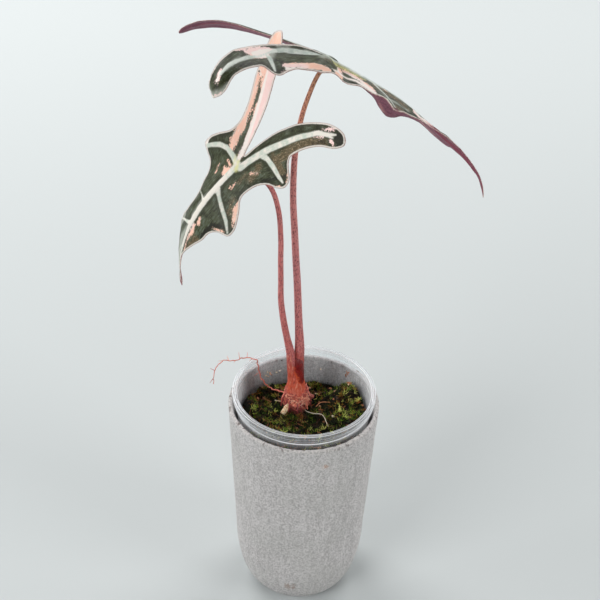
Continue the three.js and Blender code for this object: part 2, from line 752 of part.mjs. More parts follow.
// A blade with a narrow thick tip, too slim for the mesh, fused to it
function tippedBlade(blade, points, tip) {
  const surface = bladeSurface(blade);
  const stations = tip.map(([x, y, radius]) => {
    const { place: point } = surface(x, y);
    return [point.x, point.y, point.z, radius];
  });
  return joined([bladeGeometry(blade, points), rod(stations, TIP_SIDES, TIP_STEPS)]);
}

// The petiole's last stretch turns square to the underside of the blade at its joint
function petioleGeometry(stations, blade, turn) {
  const { up } = bladeAxes(blade);
  const joint = vector(blade.joint);
  const tipRadius = stations.at(-1)[3];
  const seat = BLADE_THICKNESS / 2 + RIB_SWELLING + CLEARANCE;
  const end = [turn, seat].map((drop) => {
    const point = joint.clone().addScaledVector(up, -drop);
    return [point.x, point.y, point.z, tipRadius];
  });
  return above(rod([...stations, ...end], PETIOLE_SIDES, PETIOLE_STEPS), PETIOLE_SEAT + CLEARANCE);
}

// The whole plant in its pots

const plant = new THREE.Group();

function place(name, geometry, finish) {
  const material = new THREE.MeshStandardMaterial({ metalness: 0, ...COLOURS[finish] });
  const mesh = new THREE.Mesh(geometry, material);
  mesh.name = name;
  plant.add(mesh);
}

place("cement_pot", potGeometry(), "cement");
place("clear_cup", cupGeometry(), "clear_plastic");
place("moss_bed", mossGeometry(), "moss");
place("crown", crownGeometry(), "crown");
place("front_petiole", petioleGeometry(FRONT_PETIOLE, FRONT_BLADE, FRONT_TURN), "petiole");
place("front_blade", tippedBlade(FRONT_BLADE, FRONT_OUTLINE, FRONT_TIP), "blade");
place("back_petiole", petioleGeometry(BACK_PETIOLE, BACK_BLADE, BACK_TURN), "petiole");
place("back_blade", bladeGeometry(BACK_BLADE, BACK_OUTLINE), "blade");
place(
  "loose_root",
  rod(LOOSE_ROOT.map((point) => [...point, LOOSE_ROOT_RADIUS]), 6, 40),
  "root",
);

export default plant;
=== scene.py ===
import logging
import math
import random
from dataclasses import dataclass, fields
from enum import Enum
from typing import Callable, Sequence

import bmesh
import bpy
import numpy as np
from mathutils import Matrix, Vector, noise


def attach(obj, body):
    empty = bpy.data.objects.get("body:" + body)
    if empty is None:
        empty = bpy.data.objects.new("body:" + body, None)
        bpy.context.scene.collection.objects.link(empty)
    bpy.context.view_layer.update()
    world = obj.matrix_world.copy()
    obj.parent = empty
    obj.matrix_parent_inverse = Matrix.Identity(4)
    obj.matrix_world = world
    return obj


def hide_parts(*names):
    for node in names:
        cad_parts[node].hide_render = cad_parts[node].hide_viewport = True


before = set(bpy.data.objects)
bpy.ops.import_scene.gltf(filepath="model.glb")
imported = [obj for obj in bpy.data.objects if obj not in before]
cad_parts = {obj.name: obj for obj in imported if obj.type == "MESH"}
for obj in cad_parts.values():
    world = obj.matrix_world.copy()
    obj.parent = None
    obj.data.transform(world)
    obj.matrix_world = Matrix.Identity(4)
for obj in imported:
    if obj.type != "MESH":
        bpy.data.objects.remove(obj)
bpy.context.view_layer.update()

MM = 0.001
IN_MM = 1000.0
CURVE_STEPS = 24
NOISE_SEED = 2810
UPWARDS = Vector((0.0, 0.0, 1.0))
LOG = logging.getLogger("alocasia")

Point = tuple[float, ...]
Path = Sequence[Point]
Strokes = Sequence[Path]
Array = np.ndarray
Table = dict[str, Array]
Mesh = bmesh.types.BMesh
Material = bpy.types.Material
Socket = bpy.types.NodeSocket
Value = float | Socket
Colour = Sequence[float] | Socket


# Small mathematics


def tone(red: int, green: int, blue: int) -> Point:
    """Turn a screen colour into the linear colour that a shader wants.

    Args:
        red, green, blue: the screen colour, 0 to 255.

    Returns:
        Linear red, green, blue and a full alpha.
    """
    shares = [channel / 255 for channel in (red, green, blue)]
    linear = [s / 12.92 if s <= 0.04045 else ((s + 0.055) / 1.055) ** 2.4 for s in shares]
    return (linear[0], linear[1], linear[2], 1.0)


def smoothstep(share: Array, low: float, high: float) -> Array:
    """Ease from 0 to 1 between two limits."""
    eased = np.clip((share - low) / (high - low), 0, 1)
    return eased * eased * (3 - 2 * eased)


def along(stations: Sequence[float], share: Array | float) -> Array | float:
    """Read a run of equally spaced stations at a share, 0 to 1, of its length."""
    return np.interp(np.clip(share, 0, 1) * (len(stations) - 1), np.arange(len(stations)), stations)


def metres(stations: Path) -> Array:
    """Turn rows of millimetres into metres."""
    return np.array(stations, float) * MM


def seeded(seed: int) -> Callable[[], float]:
    """Make the repeatable random number maker that heaps the moss.

    Args:
        seed: any whole number.

    Returns:
        A function that gives the next number, 0 to 1.
    """
    full = 0xFFFFFFFF
    state = seed

    def following() -> float:
        """Give the next number.

        Returns:
            A number from 0 to 1.
        """
        nonlocal state
        state = (state + 0x6D2B79F5) & full
        mixed = ((state ^ (state >> 15)) * (1 | state)) & full
        mixed = ((mixed + ((mixed ^ (mixed >> 7)) * (61 | mixed) & full)) & full) ^ mixed
        return ((mixed ^ (mixed >> 14)) & full) / (full + 1)

    return following


def smooth_curve(stations: Path, closed: bool, step: float) -> Array:
    """Lay an even run of points on a centripetal curve through stations.

    Args:
        stations: points; columns past the third ride along, as a radius does.
        closed: whether the curve comes back to its start.
        step: about how far apart the points lie.

    Returns:
        One row for each point.
    """
    given = np.array(stations, float)
    space = min(given.shape[1], 3)
    if closed:
        padded = np.vstack([given[-1], given, given[:2]])
    else:
        padded = np.vstack([2 * given[0] - given[1], given, 2 * given[-1] - given[-2]])
    shares = np.linspace(0, 1, CURVE_STEPS, endpoint=False)[:, None]
    rows = []
    for before, start, end, after in zip(padded, padded[1:], padded[2:], padded[3:]):
        gaps = [max(np.linalg.norm((b - a)[:space]), 1e-6) ** 0.5
                for a, b in ((before, start), (start, end), (end, after))]
        leave = (start - before) / gaps[0] - (end - before) / (gaps[0] + gaps[1]) + (end - start) / gaps[1]
        enter = (end - start) / gaps[1] - (after - start) / (gaps[1] + gaps[2]) + (after - end) / gaps[2]
        leave, enter = leave * gaps[1], enter * gaps[1]
        rows.append(start + shares * leave + shares ** 2 * (3 * (end - start) - 2 * leave - enter)
                    + shares ** 3 * (2 * (start - end) + leave + enter))
    dense = np.vstack([*rows, given[:1] if closed else given[-1:]])
    lengths = np.linalg.norm(np.diff(dense[:, :space], axis=0), axis=1)
    run = np.concatenate([[0], np.cumsum(lengths)])
    count = max(int(round(run[-1] / step)), 2)
    wanted = np.linspace(0, run[-1], count + 1)
    even = np.stack([np.interp(wanted, run, column) for column in dense.T], -1)
    return even[:-1] if closed else even


def depth_under(places: Array, strokes: Strokes) -> Array:
    """Measure how far flat points lie from the edge of brush strokes.

    Args:
        places: one flat point in each row.
        strokes: runs of (x, y, half width).

    Returns:
        Distances in the same unit, negative inside a stroke.
    """
    best = np.full(len(places), np.inf)
    for stroke in strokes:
        spots = list(stroke) if len(stroke) > 1 else [stroke[0], stroke[0]]
        for (x1, y1, wide1), (x2, y2, wide2) in zip(spots, spots[1:]):
            run = np.array([x2 - x1, y2 - y1])
            offset = places - np.array([x1, y1])
            share = np.clip(offset @ run / max(run @ run, 1e-9), 0, 1)
            away = np.linalg.norm(offset - share[:, None] * run, axis=1)
            best = np.minimum(best, away - (wide1 + share * (wide2 - wide1)))
    return best


# Mesh building


def turned(profile: Path, steps: int) -> Mesh:
    """Spin a section round the upright axis into a closed shell.

    Args:
        profile: (radius, height) points in metres, from the axis back to the axis.
        steps: how many stops a full turn has.

    Returns:
        The spun mesh, its poles merged and its faces pointing out.
    """
    mesh = bmesh.new()
    verts = [mesh.verts.new((radius, 0, height)) for radius, height in profile]
    edges = [mesh.edges.new(pair) for pair in zip(verts, verts[1:])]
    bmesh.ops.spin(mesh, geom=verts + edges, cent=(0, 0, 0), axis=UPWARDS, angle=math.tau, steps=steps,
                   use_merge=True, use_duplicate=False)
    bmesh.ops.remove_doubles(mesh, verts=mesh.verts, dist=1e-6)
    bmesh.ops.recalc_face_normals(mesh, faces=mesh.faces)
    return mesh


def path_frames(points: Sequence[Vector]) -> list[Matrix]:
    """Stand a frame on each point of a path, turning with it but never twisting.

    Args:
        points: the path.

    Returns:
        One matrix for each point; its third axis points ahead.
    """
    frames = []
    ahead = (points[1] - points[0]).normalized()
    side = ahead.orthogonal().normalized()
    for i, point in enumerate(points):
        ahead = (points[min(i + 1, len(points) - 1)] - points[max(i - 1, 0)]).normalized()
        side = (side - ahead * side.dot(ahead)).normalized()
        turn = Matrix((side, ahead.cross(side), ahead)).transposed()
        frames.append(Matrix.Translation(point) @ turn.to_4x4())
    return frames


def vertex_layer(layers: bmesh.types.BMLayerCollection, name: str) -> bmesh.types.BMLayerItem:
    """Find a layer of vertex values, or start it."""
    return layers.get(name) or layers.new(name)


def grow_rod(mesh: Mesh, path: Array, sides: int, shade: float = 0.5) -> None:
    """Grow a closed round rod along a path by extruding a ring again and again.

    Args:
        mesh: where the rod is added.
        path: rows of (x, y, z, radius) in metres.
        sides: sides of the ring.
        shade: a number that the finish may read, the same on the whole rod.
    """
    straight = vertex_layer(mesh.verts.layers.float_vector, "straight")
    tint = vertex_layer(mesh.verts.layers.float, "shade")
    share = vertex_layer(mesh.verts.layers.float, "share")
    frames = path_frames([Vector(row[:3]) for row in path])
    ring = bmesh.ops.create_circle(mesh, cap_ends=True, radius=path[0][3], segments=sides, matrix=frames[0])
    ring = ring["verts"]
    run = 0.0
    whole = float(np.linalg.norm(np.diff(path[:, :3], axis=0), axis=1).sum())
    for i, (frame_now, row) in enumerate(zip(frames, path)):
        if i:
            edges = {edge for vert in ring for edge in vert.link_edges
                     if edge.other_vert(vert) in ring}
            grown = bmesh.ops.extrude_edge_only(mesh, edges=list(edges))
            ring = [item for item in grown["geom"] if isinstance(item, bmesh.types.BMVert)]
            swell = Matrix.Scale(row[3] / path[i - 1][3], 4)
            move = frame_now @ swell @ frames[i - 1].inverted()
            bmesh.ops.transform(mesh, matrix=move, verts=ring)
            run += float(np.linalg.norm(row[:3] - path[i - 1][:3]))
        home = frame_now.inverted()
        for vert in ring:
            local = home @ vert.co
            vert[straight] = (local.x / MM, local.y / MM, run / MM)
            vert[tint] = shade
            vert[share] = run / whole
    rim = [edge for edge in {edge for vert in ring for edge in vert.link_edges} if edge.is_boundary]
    bmesh.ops.holes_fill(mesh, edges=rim, sides=sides)


def place_object(name: str, data: bpy.types.ID) -> bpy.types.Object:
    """Put a mesh, camera or lamp in the scene.

    Args:
        name: the object's name.
        data: what it shows.

    Returns:
        The object.
    """
    placed = bpy.data.objects.new(name, data)
    bpy.context.scene.collection.objects.link(placed)
    return placed


def roughen(mesh: Mesh, scale: float, reach: float) -> None:
    """Shake every point of a mesh by smooth noise, by about so many millimetres."""
    for vert in mesh.verts:
        vert.co += Vector(noise.noise_vector(vert.co * scale)) * reach * MM


def show(name: str, mesh: Mesh, finishes: Sequence[Material],
         replaces: Sequence[str] = (), smooth: bool = True) -> bpy.types.Object:
    """Turn a bmesh into a shown piece that rides on the pot.

    Args:
        name: the piece's name.
        mesh: its shape in metres; it is freed here.
        finishes: its materials, by index.
        replaces: the CAD nodes that it stands for.
        smooth: whether it shades smoothly.

    Returns:
        The new object.
    """
    bmesh.ops.recalc_face_normals(mesh, faces=mesh.faces)
    data = bpy.data.meshes.new(name)
    mesh.to_mesh(data)
    mesh.free()
    for finish in finishes:
        data.materials.append(finish)
    data.shade_smooth() if smooth else data.shade_flat()
    piece = place_object(name, data)
    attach(piece, "root")
    if replaces:
        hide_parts(*replaces)
    LOG.info("%s: %d faces", name, len(data.polygons))
    return piece


def scatter(mesh: Mesh, pattern: Mesh, place: Matrix, shade: float) -> None:
    """Add one placed copy of a small pattern to a mesh.

    Args:
        mesh: where the copy goes.
        pattern: the shape to copy.
        place: where and how large it stands.
        shade: the number that its finish reads.
    """
    copy = pattern.copy()
    bmesh.ops.transform(copy, matrix=place, verts=copy.verts)
    tint = vertex_layer(copy.verts.layers.float, "shade")
    for vert in copy.verts:
        vert[tint] = shade
    carrier = bpy.data.meshes.new("carrier")
    copy.to_mesh(carrier)
    copy.free()
    mesh.from_mesh(carrier)
    bpy.data.meshes.remove(carrier)


def spin(draw: random.Random) -> Matrix:
    """Turn at random round the upright axis."""
    return Matrix.Rotation(draw.uniform(0, math.tau), 4, "Z")


def tilt(draw: random.Random, most: float) -> Matrix:
    """Lean at random, by at most so many radians each way."""
    forward = Matrix.Rotation(draw.uniform(-most, most), 4, "X")
    return forward @ Matrix.Rotation(draw.uniform(-most, most), 4, "Y")


# Finishes


class Graph:
    """A short way to write one material's shader graph."""

    def __init__(self, name: str) -> None:
        """Start an empty material.

        Args:
            name: the material's name.
        """
        self.material = bpy.data.materials.new(name)
        self.material.use_nodes = True
        self.tree = self.material.node_tree
        self.tree.nodes.clear()

    def node(self, kind: str, inputs: dict, **settings: object) -> bpy.types.Node:
        """Add a node.

        Args:
            kind: Blender's name for it.
            inputs: a number, colour or socket for each input, by name or index.
            settings: the node's own options.

        Returns:
            The node.
        """
        made = self.tree.nodes.new(kind)
        for key, value in settings.items():
            setattr(made, key, value)
        for key, value in inputs.items():
            if isinstance(value, Socket):
                self.tree.links.new(value, made.inputs[key])
            else:
                made.inputs[key].default_value = value
        return made

    def attribute(self, name: str, output: str = "Fac") -> Socket:
        """Read one of the piece's own attributes."""
        return self.node("ShaderNodeAttribute", {}, attribute_name=name).outputs[output]

    def place(self) -> Socket:
        """Read the place on the object, in metres."""
        return self.node("ShaderNodeTexCoord", {}).outputs["Object"]

    def stretch(self, vector: Socket, scale: Point) -> Socket:
        """Stretch a place along its axes."""
        return self.node("ShaderNodeVectorMath", {0: vector, 1: scale}, operation="MULTIPLY").outputs[0]

    def grain(self, vector: Socket, scale: float, detail: float = 3.0, roughness: float = 0.55) -> Socket:
        """Make soft random grain, about 0.3 to 0.7."""
        inputs = {"Vector": vector, "Scale": scale, "Detail": detail, "Roughness": roughness}
        return self.node("ShaderNodeTexNoise", inputs).outputs["Fac"]

    def cells(self, vector: Socket, scale: float) -> Socket:
        """Make the distance to scattered spots."""
        return self.node("ShaderNodeTexVoronoi", {"Vector": vector, "Scale": scale}).outputs["Distance"]

    def maths(self, operation: str, first: Value, second: Value = 0.0, third: Value = 0.0) -> Socket:
        """Work out one sum."""
        return self.node("ShaderNodeMath", {0: first, 1: second, 2: third}, operation=operation).outputs[0]

    def weigh(self, *parts: tuple[Socket, float]) -> Socket:
        """Add up sockets, each times its own weight.

        Args:
            parts: the sockets with their weights.

        Returns:
            The sum.
        """
        total = self.maths("MULTIPLY", *parts[0])
        for socket, weight in parts[1:]:
            total = self.maths("MULTIPLY_ADD", socket, weight, total)
        return total

    def marked(self, name: str, *grains: tuple[Socket, float]) -> Socket:
        """Read the distance from a marking's strokes, its edge torn by weighted grains."""
        return self.weigh((self.attribute(name), 1.0), *grains)

    def tinted(self, grain: Socket, reach: float) -> Socket:
        """Read the piece's own shade, stirred by random grain."""
        shade = self.maths("ADD", self.attribute("shade"), self.maths("MULTIPLY", grain, reach))
        return self.maths("SUBTRACT", shade, reach / 2)

    def uneven(self, vector: Socket, scale: float, detail: float = 3.0, roughness: float = 0.55) -> Socket:
        """Make random grain that swings round zero."""
        return self.maths("SUBTRACT", self.grain(vector, scale, detail, roughness), 0.5)

    def band(self, value: Value, low: float, high: float, top: float = 1.0) -> Socket:
        """Ease from 0 at one value to a top at another."""
        inputs = {"Value": value, "From Min": low, "From Max": high, "To Max": top}
        return self.node("ShaderNodeMapRange", inputs, interpolation_type="SMOOTHSTEP").outputs[0]

    def mix(self, share: Value, first: Colour, second: Colour) -> Socket:
        """Mix two colours."""
        return self.node("ShaderNodeMix", {0: share, 6: first, 7: second}, data_type="RGBA").outputs[2]

    def ramp(self, value: Value, stops: Sequence[tuple[float, Sequence[float]]]) -> Socket:
        """Read a colour from a row of stops.

        Args:
            value: where to read, 0 to 1.
            stops: positions with their colours, in order.

        Returns:
            The colour.
        """
        made = self.node("ShaderNodeValToRGB", {0: value})
        elements = made.color_ramp.elements
        while len(elements) < len(stops):
            elements.new(1.0)
        for element, (position, colour) in zip(elements, stops):
            element.position = position
            element.color = colour
        return made.outputs[0]

    def bump(self, height: Socket, distance: float) -> Socket:
        """Turn a height into a shading normal; the distance is in metres."""
        return self.node("ShaderNodeBump", {"Height": height, "Distance": distance}).outputs[0]

    def skin(self, colour: Colour, roughness: Value, specular: float = 0.5, normal: Socket | None = None,
             further: dict | None = None) -> Material:
        """Close the graph with one principled surface.

        Args:
            colour, roughness, specular, normal: its main inputs.
            further: its other inputs by name.

        Returns:
            The finished material.
        """
        inputs = {"Base Color": colour, "Roughness": roughness, "Specular IOR Level": specular}
        if normal is not None:
            inputs["Normal"] = normal
        return self.close(self.node("ShaderNodeBsdfPrincipled", inputs | (further or {})).outputs[0])

    def close(self, surface: Socket) -> Material:
        """Close the graph with any shader."""
        self.node("ShaderNodeOutputMaterial", {"Surface": surface})
        return self.material


@dataclass(frozen=True)
class Cement:
    """Matt light grey cement with fine even speckle, faint upright columns and a few stains.

    A stain is (x, y, z, reach, colour), in millimetres.
    """

    pale: tuple = tone(220, 217, 216)
    dull: tuple = tone(172, 169, 168)
    stains: tuple = (
        (15.2, -47.6, 141.0, 3.0, tone(176, 122, 84)),
        (-6.0, -38.5, 22.0, 5.5, tone(150, 118, 98)),
        (-20.0, 42.0, 60.0, 4.0, tone(158, 132, 112)))

    def material(self) -> Material:
        """Make the finish.

        Returns:
            The material.
        """
        graph = Graph("cement")
        place = graph.place()
        columns = graph.uneven(graph.stretch(place, (1, 1, 0.15)), 260, 3)
        brushed = graph.uneven(graph.stretch(place, (1, 1, 0.55)), 700, 4, 0.7)
        speck = graph.uneven(place, 850, 4, 0.75)
        grit = graph.weigh((columns, 0.22), (brushed, 0.4), (speck, 1.1))
        colour = graph.mix(graph.band(grit, -0.15, 0.13), self.dull, self.pale)
        cloud = graph.band(graph.grain(place, 30, 2), 0.4, 0.66, 0.2)
        colour = graph.mix(cloud, colour, tone(176, 178, 172))
        # Small pits, darkened with painted shade in their hollows, and sunk a little by the bump.
        shaded_pits = graph.band(graph.cells(graph.stretch(place, (1, 1, 0.7)), 620), 0.2, 0.06, 0.7)
        colour = graph.mix(shaded_pits, colour, tone(118, 114, 112))
        high = graph.node("ShaderNodeSeparateXYZ", {0: place}).outputs[2]
        lip = graph.weigh((high, IN_MM), (speck, 12.0))
        colour = graph.mix(graph.band(lip, 153.6, 156.0, 0.5), colour, tone(226, 220, 216))
        crumbs = graph.maths("MULTIPLY", graph.band(lip, 152.0, 155.0), graph.band(columns, 0.06, 0.13, 0.7))
        colour = graph.mix(crumbs, colour, tone(92, 76, 70))
        for x, y, z, reach, stain in self.stains:
            middle = (x * MM, y * MM, z * MM)
            away = graph.node("ShaderNodeVectorMath", {0: place, 1: middle}, operation="DISTANCE")
            torn = graph.weigh((away.outputs["Value"], IN_MM), (speck, reach * 2.2), (columns, reach * 1.5))
            colour = graph.mix(graph.band(torn, reach, reach * 0.35, 0.6), colour, stain)
        height = graph.weigh((grit, 1.0), (shaded_pits, -0.5))
        return graph.skin(colour, 0.95, 0.2, graph.bump(height, 0.0007))


@dataclass(frozen=True)
class ClearPlastic:
    """Clear thin plastic: see-through face on, whiter at glancing angles, where its white body stands in for
    reflections of the bright studio, with painted highlights along its moulded rings.

    Painted highlight rings on top are (radius, half width, whiteness) and on the side (height, half width,
    whiteness), in millimetres.
    """

    haze: float = 0.07
    most: float = 0.85
    top: float = 163.4
    top_highlight_rings: tuple = ((44.55, 0.3, 0.75), (45.75, 0.22, 0.5), (47.1, 0.32, 0.6))
    side_highlight_rings: tuple = ((158.4, 0.45, 0.5), (160.3, 0.14, 0.16), (161.4, 0.14, 0.12), (163.0, 0.3, 0.5))

    def ring(self, graph: Graph, value: Socket, ring: Point) -> Socket:
        """Draw one painted highlight ring, 0 away from it.

        Args:
            graph: the graph to add to.
            value: the radius or the height, in millimetres.
            ring: its place, half width and whiteness.

        Returns:
            How white it is.
        """
        centre, half, white = ring
        away = graph.maths("ABSOLUTE", graph.maths("SUBTRACT", value, centre))
        return graph.band(away, half, half * 0.3, white)

    def material(self) -> Material:
        """Make the finish.

        Returns:
            The material.
        """
        graph = Graph("clear_plastic")
        place = graph.place()
        across = graph.node("ShaderNodeVectorMath", {0: graph.stretch(place, (1, 1, 0))}, operation="LENGTH")
        radius = graph.maths("MULTIPLY", across.outputs["Value"], IN_MM)
        height = graph.maths("MULTIPLY", graph.node("ShaderNodeSeparateXYZ", {0: place}).outputs[2], IN_MM)
        streak = graph.grain(graph.stretch(place, (1, 1, 0.08)), 420, 3)
        # Painted highlights: whiter lines along the moulded rings on the rim's top and down its side,
        # brighter in some places than others.
        lit = graph.band(graph.grain(place, 26, 2), 0.36, 0.62)
        over = graph.weigh(*((self.ring(graph, radius, ring), 1.0) for ring in self.top_highlight_rings))
        over = graph.maths("MULTIPLY", over, graph.band(height, self.top, self.top + 0.6))
        beside = graph.weigh(*((self.ring(graph, height, ring), 1.0) for ring in self.side_highlight_rings))
        either = graph.maths("MAXIMUM", over, beside)
        rings = graph.maths("MULTIPLY", either, graph.maths("MULTIPLY_ADD", lit, 0.6, 0.4))
        body = graph.node("ShaderNodeBsdfPrincipled", {
            "Base Color": tone(250, 252, 254), "Roughness": 0.34, "IOR": 1.5, "Specular IOR Level": 0.7})
        clear = graph.node("ShaderNodeBsdfTransparent", {"Color": (0.95, 0.962, 0.97, 1)})
        # Whiter at glancing angles: the white body shown there is painted reflection of the bright studio.
        turned_away = graph.node("ShaderNodeLayerWeight", {"Blend": 0.5}).outputs["Facing"]
        edge = graph.maths("POWER", turned_away, 3.0)
        milky = graph.band(height, self.top - 0.4, self.top + 0.2, 0.16)
        film = graph.weigh((graph.band(streak, 0.44, 0.68, self.haze), 1.0), (milky, 1.0), (rings, 1.0))
        cover = graph.maths("MINIMUM", graph.weigh((edge, 0.7), (film, 1.0)), self.most)
        return graph.close(graph.node("ShaderNodeMixShader", {
            0: cover, 1: clear.outputs[0], 2: body.outputs[0]}).outputs[0])


@dataclass(frozen=True)
class Mix:
    """Damp growing mix with brown and green grains, painted near-black as the shade in the gaps between the
    moss.
    """

    def material(self) -> Material:
        """Make the finish.

        Returns:
            The material.
        """
        graph = Graph("growing_mix")
        place = graph.place()
        grain = graph.grain(place, 520, 5, 0.7)
        # The near-black stops are painted shade in the gaps between the moss.
        colour = graph.ramp(grain, [(0.4, tone(8, 7, 5)), (0.54, tone(24, 19, 12)), (0.66, tone(66, 54, 28))])
        patch = graph.band(graph.grain(place, 120, 3), 0.52, 0.66, 0.5)
        colour = graph.mix(patch, colour, tone(30, 36, 12))
        return graph.skin(colour, 0.85, 0.15, graph.bump(grain, 0.0012))


@dataclass(frozen=True)
class Greenery:
    """Moss leaves from near black through green and yellow green to brown, by the sprig's shade; the
    near-black end is painted shade deep among the moss.
    """

    def material(self) -> Material:
        """Make the finish.

        Returns:
            The material.
        """
        graph = Graph("moss_leaves")
        grain = graph.grain(graph.place(), 900, 3)
        # The near-black stop is painted shade for sprigs low among the moss.
        colour = graph.ramp(graph.tinted(grain, 0.2), [
            (0.0, tone(8, 9, 3)), (0.26, tone(40, 62, 10)), (0.52, tone(120, 150, 36)),
            (0.68, tone(236, 238, 134)), (0.76, tone(164, 136, 60)), (0.88, tone(176, 108, 52)),
            (1.0, tone(60, 36, 20))])
        return graph.skin(colour, 0.6, 0.25, graph.bump(grain, 0.0003))


@dataclass(frozen=True)
class Chips:
    """Bark, fibre and grit in browns, oranges and pale tans, by the chip's shade."""

    def material(self) -> Material:
        """Make the finish.

        Returns:
            The material.
        """
        graph = Graph("chips")
        grain = graph.grain(graph.stretch(graph.place(), (1, 1, 2.5)), 800, 4)
        colour = graph.ramp(graph.tinted(grain, 0.16), [
            (0.0, tone(30, 20, 12)), (0.3, tone(74, 48, 28)), (0.55, tone(136, 84, 46)),
            (0.75, tone(200, 132, 92)), (0.9, tone(226, 206, 170)), (1.0, tone(236, 226, 206))])
        return graph.skin(colour, 0.78, normal=graph.bump(grain, 0.0005))


@dataclass(frozen=True)
class StalkSkin:
    """Dusty brick-red skin with rows of fine dark flecks, changing colour up the stalk."""

    name: str
    stops: tuple

    def material(self) -> Material:
        """Make the finish.

        Returns:
            The material.
        """
        graph = Graph(self.name)
        straight = graph.attribute("straight", "Vector")
        base = graph.ramp(graph.attribute("share"), self.stops)
        streak = graph.grain(graph.stretch(straight, (1.6, 1.6, 0.12)), 1.0, 4, 0.7)
        base = graph.mix(graph.band(streak, 0.35, 0.7, 0.5), base, tone(226, 160, 154))
        cells = graph.cells(graph.stretch(straight, (1.15, 1.15, 0.55)), 1.0)
        fleck = graph.band(cells, 0.42, 0.24, 0.9)
        colour = graph.mix(fleck, base, tone(96, 34, 42))
        height = graph.maths("SUBTRACT", streak, graph.maths("MULTIPLY", fleck, 0.3))
        return graph.skin(colour, 0.46, 0.45, graph.bump(height, 0.0002), {
            "Subsurface Weight": 0.08, "Subsurface Radius": (0.004, 0.0015, 0.001), "Subsurface Scale": 1.0})


@dataclass(frozen=True)
class CrownSkin:
    """Fibrous rootstock: tan cut stub, knobby pink-brown body, and a torn dark red sheath, painted orange
    towards its left and lower down where it is lit.
    """

    def material(self) -> Material:
        """Make the finish.

        Returns:
            The material.
        """
        graph = Graph("crown_skin")
        place = graph.place()
        fibre = graph.grain(graph.stretch(place, (1, 1, 0.25)), 900, 5, 0.7)
        patch = graph.grain(place, 260, 4)
        side, _, level = graph.node("ShaderNodeSeparateXYZ", {0: place}).outputs
        height = graph.weigh((level, IN_MM), (graph.maths("SUBTRACT", patch, 0.5), 30.0))
        colour = graph.ramp(graph.maths("MULTIPLY_ADD", height, 1 / 45, -145 / 45), [
            (0.0, tone(110, 48, 46)), (0.16, tone(206, 110, 92)), (0.4, tone(212, 88, 58)),
            (0.75, tone(190, 84, 70)), (1.0, tone(180, 84, 80))])
        colour = graph.mix(graph.band(fibre, 0.52, 0.7, 0.6), colour, tone(246, 186, 156))
        colour = graph.mix(graph.band(fibre, 0.47, 0.34, 0.7), colour, tone(96, 30, 30))
        shade = graph.attribute("shade")
        tan = graph.ramp(fibre, [(0.36, tone(206, 138, 86)), (0.6, tone(255, 236, 198))])
        colour = graph.mix(graph.band(shade, 0.27, 0.22), colour, tan)
        # Painted light on the sheath: orange towards the left and lower down, where it is lit, dark red up to
        # the right.
        lit = graph.weigh((side, IN_MM), (height, 0.32), (graph.maths("SUBTRACT", fibre, 0.5), 8.0))
        film = graph.mix(graph.band(lit, 52.4, 48.6), tone(112, 14, 14), tone(208, 84, 50))
        film = graph.mix(graph.band(patch, 0.52, 0.66, 0.5), film, tone(160, 36, 34))
        colour = graph.mix(graph.band(shade, 0.6, 1.0), colour, film)
        gloss = graph.band(shade, 0.6, 1.0, -0.2)
        return graph.skin(colour, graph.maths("ADD", gloss, 0.5), normal=graph.bump(fibre, 0.0008))


@dataclass(frozen=True)
class RootSkin:
    """Thin roots in mauve brown, pink, peach and cream, by the root's shade."""

    name: str

    def material(self) -> Material:
        """Make the finish.

        Returns:
            The material.
        """
        graph = Graph(self.name)
        grain = graph.grain(graph.place(), 700, 4)
        colour = graph.ramp(graph.tinted(grain, 0.2), [
            (0.0, tone(84, 34, 38)), (0.3, tone(156, 66, 66)), (0.55, tone(220, 116, 98)),
            (0.8, tone(250, 180, 148)), (1.0, tone(255, 232, 206))])
        return graph.skin(colour, 0.6, normal=graph.bump(grain, 0.0004))


